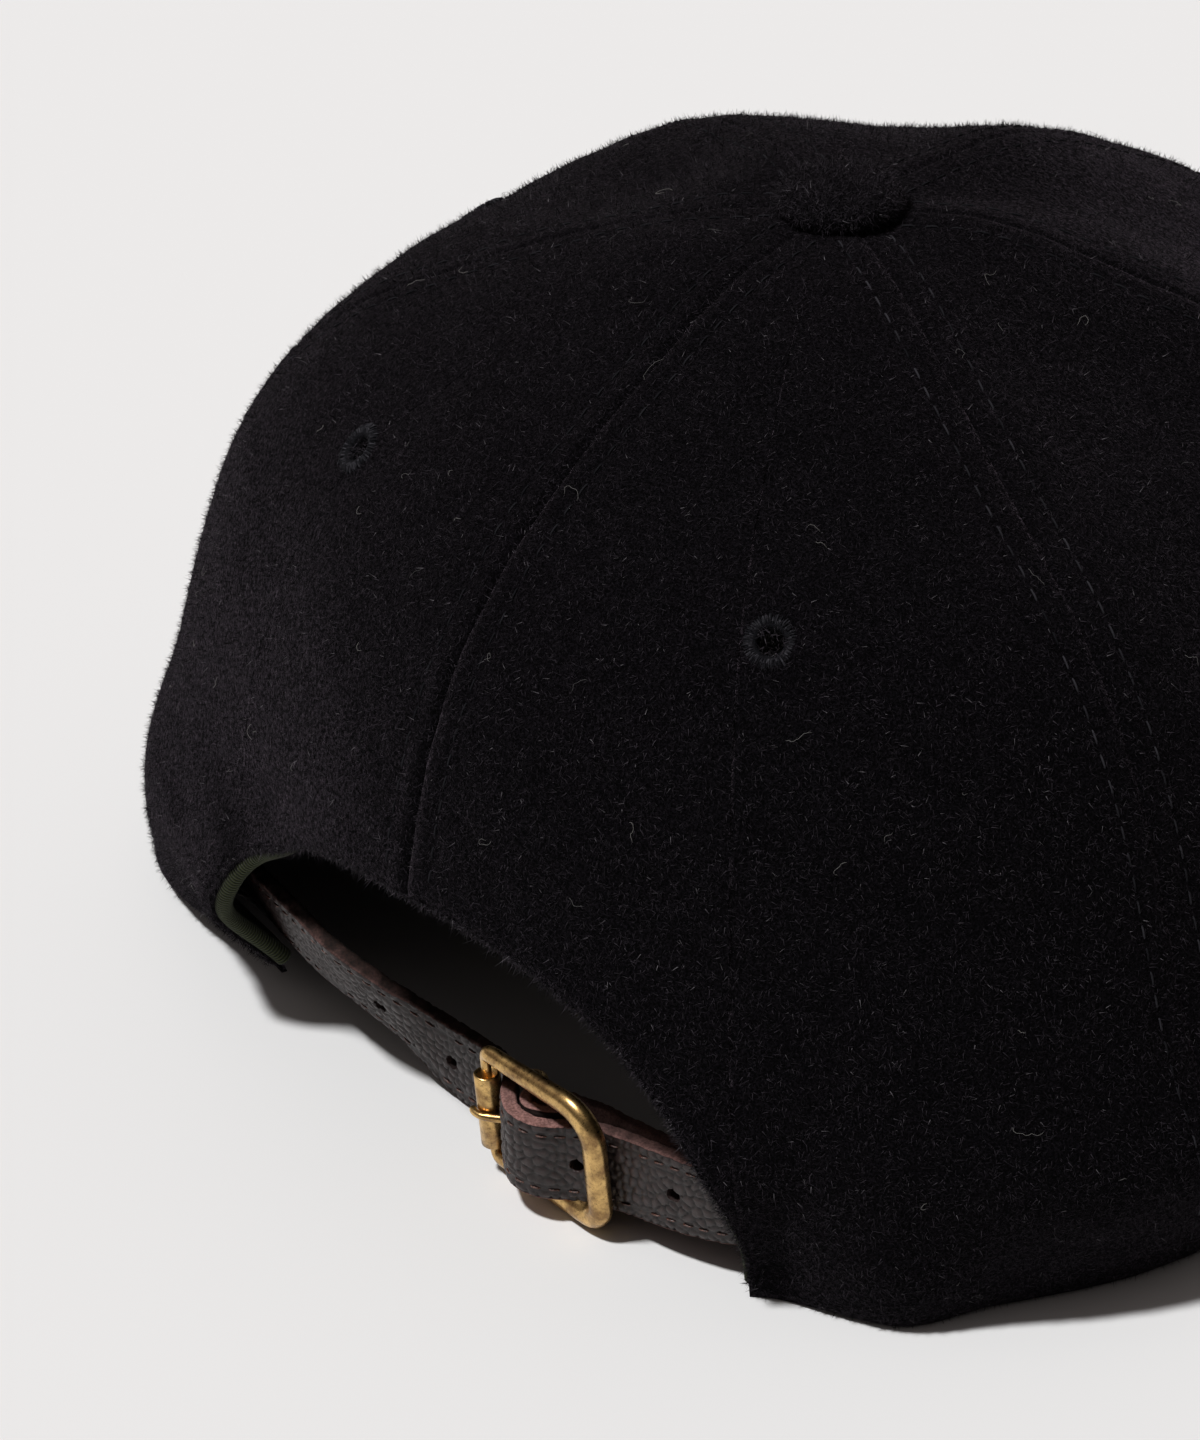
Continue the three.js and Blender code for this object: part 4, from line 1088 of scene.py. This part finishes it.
def make_strip(rows, size, step, seed, groove):
    """A leather strip with pebbled grain, sewn grooves and slightly rough edges."""
    centres, out, up, run = strip_frames(rows, step)
    section = strap_section(size["width"], size["thickness"])
    across, depth, suede = section.T
    first, second = cells(run[:, None] + 0 * across, across[None] + 40, size["pebble"], seed)
    grain = np.clip((second - first) / 0.5, 0, 1)
    front = (depth > 0) & (suede < 0.5)
    inset = size["width"] / 2 - np.abs(across)
    sewn = bell(inset - SEWN_INSET, SEWN_WIDTH)
    relief = np.where(front, size["relief"] * (grain * (2 - grain) - 0.7) * (1 - sewn) - groove * sewn, 0)
    relief = relief - np.where(front, 0.3 * bell(inset, 0.6), 0)
    near = np.exp(-(np.linalg.norm(centres[:, :2] - BULGE, axis=1) / BULGE_REACH) ** 4)
    squeeze = 1 - size["squeeze"] * near
    lift = BULGE_LIFT * near
    spot = (centres[:, None] + up[:, None] * (across[None] * squeeze[:, None] + lift[:, None])[..., None]
            + out[:, None] * depth[None, :, None])
    rough = np.where(suede > 0.5, 0.09 * ripple(spot, 0.9, seed + 1) + 0.09 * ripple(spot, 2.2, seed + 2), 0)
    side = np.where(np.abs(across) >= size["width"] / 2 - 0.15, np.sign(across), 0)
    spot = spot + out[:, None] * (relief + np.where(side == 0, rough * np.sign(depth), 0))[..., None]
    spot = spot + up[:, None] * (side * rough)[..., None]
    # suede is palest over the bulge, paler towards the wearer's right and where it meets the face
    pale = 0.02 + 0.85 * near + 0.3 / (1 + np.exp((centres[:, 0] + 20) / 2))
    fringe = np.clip((depth / size["thickness"] + 0.5 - 0.72) / 0.2, 0, 1)
    pale = np.clip(pale[:, None] + 0.22 * fringe[None] + 0.12 * ripple(spot, 3.0, seed), 0, 1)
    # painted shade: darker in the creases between the pebbles and along the sewn grooves
    painted_crease_shade = 0.2 * np.maximum(1 - grain, 0.75 * sewn)
    shade = np.where(suede > 0.5, 0.5 + 0.5 * pale, np.where(front, painted_crease_shade, 0.2))
    body = Body().add(*ring_loft(spot), shade.ravel())
    return body, (centres + up * lift[:, None], out, up * squeeze[:, None], run)


def make_strap():
    """The long strap with its holes, the one under the prong cut along the prong."""
    body, (centres, out, up, run) = make_strip(STRAP_PATH, STRAP, 0.28, 31, groove=0.22)
    strap = body.piece("strap_leather", MATERIALS["leather"], "leather", "strap_long")
    start = CENTRE_BAR_AT + (CENTRE_BAR["radius"] + GAP + PRONG["radius"]) * on_circle(PRONG["leaves"])
    over = ROLLER["outer"] + GAP + PRONG["radius"]
    end = on_frame(0.0, BUCKLE_HEIGHT)[:2] + over * on_circle(PRONG["meets"])
    middle = np.array([*(start + end) / 2, BUCKLE_HEIGHT])
    cutters = [tubes(drill(middle, unit(np.array([*(end - start), 0])), 6), PRONG["hole"], 20)]
    for far in STRAP["holes"]:
        k = np.abs(run - far).argmin()
        cutters.append(tubes(drill(centres[k], out[k], 3), STRAP["hole"], 20))
    cut(strap, cutters)
    threads = Body()
    for side in (-1, 1):
        line = centres + up * side * (STRAP["width"] / 2 - SEWN_INSET) + out * (STRAP["thickness"] / 2 - 0.2)
        threads.add(*stitches(line, out, **STRAP_STITCH))
    threads.piece("strap_stitches", MATERIALS["copper"], "leather")


def make_tab():
    """The tab, folded round the centre bar, with the slot that the prong comes out of."""
    loop = CENTRE_BAR["radius"] + GAP + TAB["thickness"] / 2
    round_bar = [CENTRE_BAR_AT + loop * on_circle(degrees) for degrees in range(-90, 91, 30)]
    rows = list(TAB_PATH) + [(x, y, BUCKLE_HEIGHT, 0) for x, y in round_bar + TAB_FOLD]
    body, _ = make_strip(rows, TAB, 0.3, 47, groove=0.1)
    tab = body.piece("tab_leather", MATERIALS["leather"], "leather", "strap_tab")
    x, y = CENTRE_BAR_AT + (CENTRE_BAR["radius"], 0)
    half, half_height = TAB["slot_length"] / 2, TAB["slot"] / 2
    corners = np.array([[(x + a * half, y + b * half, BUCKLE_HEIGHT + c * half_height)
                         for a, b in ((-1, -1), (1, -1), (1, 1), (-1, 1))] for c in (-1, 1)])
    cut(tab, [ring_loft(corners)])


# Buckle

FRAME = {"x": -4.3, "y": 74.8, "low": 2.4, "high": 20.0, "length": 20.8, "turn": 7.0, "slant": -0.8,
         "lean": 0.12, "thin": 1.2, "thick": 1.75}
CORNER = {"left": 1.5, "high": 5.0, "low": 3.0, "steps": 14}
ROLLER = {"inner": 1.35, "outer": 1.75, "length": 12.0, "middle": 10.2}
# leaves and meets are the degrees at which the prong leaves its ring and meets the roller
PRONG = {"radius": 0.8, "tip": 0.5, "hole": 1.5, "steps": 90, "leaves": 330, "meets": 125}
LEFT_BAR = {"radius": 0.75, "within": 0.4}


def on_frame(along, height):
    """A point of the buckle's plane, which leans outwards at the top."""
    turn = math.radians(FRAME["turn"])
    along += FRAME["slant"] * (FRAME["high"] - height) / (FRAME["high"] - FRAME["low"])
    out = FRAME["lean"] * (height - (FRAME["high"] + FRAME["low"]) / 2)
    return np.array([FRAME["x"] - along * math.cos(turn) + out * math.sin(turn),
                     FRAME["y"] + along * math.sin(turn) + out * math.cos(turn), height])


def make_frame():
    """The buckle's loop and its centre bar."""
    low, high, length = FRAME["low"], FRAME["high"], FRAME["length"]
    left, upper, lower = CORNER["left"], CORNER["high"], CORNER["low"]
    corners = [(left, high - left, left, 180), (length - upper, high - upper, upper, 90),
               (length - lower, low + lower, lower, 0), (left, low + left, left, -90)]
    path, radii = [], []
    for along, height, radius, start in corners:
        for k in range(CORNER["steps"] + 1):
            turn = math.radians(start - 90 * k / CORNER["steps"])
            here = along + radius * math.cos(turn)
            path.append(on_frame(here, height + radius * math.sin(turn)))
            radius_here = FRAME["thin"] + (FRAME["thick"] - FRAME["thin"]) * max(here / length, 0)
            radii.append(LEFT_BAR["radius"] if here < LEFT_BAR["within"] else radius_here)
    full = np.array(path + path[:1])
    run = run_along(full)
    even = np.linspace(0, run[-1], 161)[:-1]
    path = resampled(even, run, full)
    radii = np.interp(even, run, radii + radii[:1])
    for _ in range(2):
        radii = (np.roll(radii, 1) + radii + np.roll(radii, -1)) / 3
    turn = math.radians(FRAME["turn"])
    square = (math.sin(turn), math.cos(turn), 0)
    body = Body().add(*tubes(path[None], radii[None], 20, closed=True, flat=0.86, side=square))
    x, y = CENTRE_BAR_AT
    foot, head = on_frame(CENTRE_BAR["along"], low), on_frame(CENTRE_BAR["along"], high)
    bar = [foot, (x, (foot[1] + y) / 2, low + 0.4), (x, y, low + CENTRE_BAR["bend"]),
           (x, y, high - CENTRE_BAR["bend"]), (x, (head[1] + y) / 2, high - 0.4), head]
    body.add(*tubes(catmull(bar, 40)[None], CENTRE_BAR["radius"], 14, side=(1, 0, 0)))
    body.piece("buckle_loop", MATERIALS["brass"], "brass", "buckle_frame")


def make_roller():
    """A sleeve round the frame's straight side."""
    half, inner, outer = ROLLER["length"] / 2, ROLLER["inner"], ROLLER["outer"]
    section = np.array([(inner, -half), (outer - 0.12, -half), (outer, -half + 0.15), (outer, half - 0.15),
                        (outer - 0.12, half), (inner, half)])
    turns = circle(40)
    spokes = np.stack([np.cos(turns), np.sin(turns), 0 * turns], axis=-1)[:, None]
    axis = np.stack([on_frame(0.0, ROLLER["middle"] + z) for z in section[:, 1]])
    rings = axis[None] + spokes * section[None, :, :1]
    body = Body().add(*ring_loft(rings, closed=True))
    body.piece("roller_sleeve", MATERIALS["brass"], "brass", "buckle_roller")


def make_prong():
    """An open ring round the centre bar, then a wire through the strap and over the roller."""
    ring = CENTRE_BAR["radius"] + GAP + PRONG["radius"]
    over = ROLLER["outer"] + PRONG["tip"] + 0.1
    plan = [CENTRE_BAR_AT + ring * on_circle(degrees) for degrees in range(120, PRONG["leaves"] + 1, 30)]
    middle = on_frame(0.0, BUCKLE_HEIGHT)[:2]
    plan += [middle + over * on_circle(degrees) for degrees in (PRONG["meets"], 95, 65, 40)]
    path = catmull([(x, y, BUCKLE_HEIGHT) for x, y in plan], PRONG["steps"])
    radii = np.interp(np.arange(PRONG["steps"]), [45, 70], [PRONG["radius"], PRONG["tip"]])
    radii[-6:] *= np.sqrt(1 - np.linspace(0, 0.95, 6) ** 2)
    body = Body().add(*tubes(path[None], radii[None], 14, side=tuple(UP)))
    body.piece("prong_wire", MATERIALS["brass"], "brass", "buckle_prong")


# Lint

LINT = {"count": 150, "steps": 12, "length": (1.2, 5.5), "turn": 0.5, "curl": 0.18,
        "radius": 0.024, "sides": 4, "off": 0.25, "arch": 0.55}


def make_lint(outers):
    """Long pale fibres caught on the wool."""
    body = Body()
    steps = LINT["steps"]
    choice = RNG.integers(0, len(outers), LINT["count"])
    t = np.linspace(0, 1, steps)
    for k, outer in enumerate(outers):
        count = int((choice == k).sum())
        points, normals = scatter(outer[:ROWS - 4], count, from_axis)
        first = unit(np.cross(normals, RNG.normal(size=normals.shape)))
        second = np.cross(normals, first)
        length = RNG.uniform(*LINT["length"], (count, 1, 1)) * RNG.uniform(0.5, 1.0, (count, 1, 1))
        turn = RNG.normal(0, LINT["turn"], (count, steps)) + RNG.normal(0, LINT["curl"], (count, 1))
        turn = np.cumsum(turn, axis=1)
        heading = np.cos(turn)[..., None] * first[:, None] + np.sin(turn)[..., None] * second[:, None]
        path = points[:, None] + np.cumsum(heading, axis=1) * length / steps
        arch = LINT["arch"] * np.sin(np.pi * t)[None, :, None]
        path += normals[:, None] * (LINT["off"] + arch * RNG.random((count, 1, 1)))
        shade = np.repeat(RNG.random(count), steps * LINT["sides"])
        body.add(*tubes(path, LINT["radius"], LINT["sides"]), shade)
    body.piece("lint", MATERIALS["lint"], "wool")


# Stage

CAMERA = {"azimuth": 219.867, "elevation": 31.108, "distance": 899.9, "focal_px": 6751.7}
CAMERA_TARGET = 50.0 * UP
TARGET_PX = (839.1, 604.4)
PHOTO_PX = (1200, 1440)
SENSOR = 36.0


def direction(angles):
    """The direction of an azimuth and elevation, from the cap."""
    a, e = math.radians(angles["azimuth"]), math.radians(angles["elevation"])
    return np.array([math.sin(a) * math.cos(e), -math.cos(a) * math.cos(e), math.sin(e)])


def make_camera():
    """A long lens from behind and above. The target lies off the frame's middle, so the camera is turned."""
    back = direction(CAMERA)
    right = unit(np.cross(-back, UP))
    up = np.cross(right, -back)
    off_right, off_up = TARGET_PX[0] - PHOTO_PX[0] / 2, PHOTO_PX[1] / 2 - TARGET_PX[1]
    ahead = unit(-back * CAMERA["focal_px"] - right * off_right - up * off_up)
    up = unit(up - ahead * (up @ ahead))
    right = np.cross(ahead, up)
    data = bpy.data.cameras.new("camera")
    data.sensor_width = SENSOR
    data.lens = CAMERA["focal_px"] / max(PHOTO_PX) * SENSOR
    data.clip_start, data.clip_end = 0.05, 20
    camera = linked("camera", data)
    at = place(CAMERA_TARGET + back * CAMERA["distance"])
    camera.matrix_world = Matrix([(*row, x) for row, x in zip(np.stack([right, up, -ahead], axis=1), at)]
                                 + [(0, 0, 0, 1)])
    bpy.context.scene.camera = camera


def make_floor():
    """A plain square, in metres."""
    mesh = bpy.data.meshes.new("floor")
    half = 3.0
    corners = [(-half, -half, 0), (half, -half, 0), (half, half, 0), (-half, half, 0)]
    mesh.from_pydata(corners, [], [(0, 1, 2, 3)])
    mesh.materials.append(MATERIALS["floor"])
    floor = linked("floor", mesh)


KEY = {"azimuth": 150.0, "elevation": 66.0, "strength": 2.9, "angle": 6.0}
# the sky is brighter behind the cap and on its left
SKY = {"azimuth": 60.0, "elevation": 50.0, "far": 0.01, "near": 0.29, "tint": (1.0, 0.89, 0.85)}


def make_lights():
    """A soft sun and a sky that is brighter on one side."""
    sun = bpy.data.lights.new("key", "SUN")
    sun.energy = KEY["strength"]
    sun.angle = math.radians(KEY["angle"])
    key = linked("key", sun)
    key.rotation_mode = "QUATERNION"
    key.rotation_quaternion = Vector(direction(KEY)).to_track_quat("Z", "Y")
    world = bpy.data.worlds.new("studio")
    world.use_nodes = True
    tree = world.node_tree
    where = tree.nodes.new("ShaderNodeTexCoord")
    side = tree.nodes.new("ShaderNodeVectorMath")
    side.operation = "DOT_PRODUCT"
    side.inputs[1].default_value = Vector(direction(SKY))
    glow = tree.nodes.new("ShaderNodeMapRange")
    spread = {"From Min": -0.3, "From Max": 1.0, "To Min": SKY["far"], "To Max": SKY["near"]}
    for socket, value in spread.items():
        glow.inputs[socket].default_value = value
    background = tree.nodes["Background"]
    background.inputs["Color"].default_value = (*SKY["tint"], 1)
    tree.links.new(where.outputs["Generated"], side.inputs[0])
    tree.links.new(side.outputs["Value"], glow.inputs["Value"])
    tree.links.new(glow.outputs["Result"], background.inputs["Strength"])
    bpy.context.scene.world = world
    bpy.context.scene.view_settings.view_transform = "Standard"


make_camera()
make_floor()
make_lights()
OUTERS = make_crown()
make_fringe()
make_button()
make_visor()
make_tape()
make_strap()
make_tab()
make_frame()
make_roller()
make_prong()
make_lint(OUTERS)
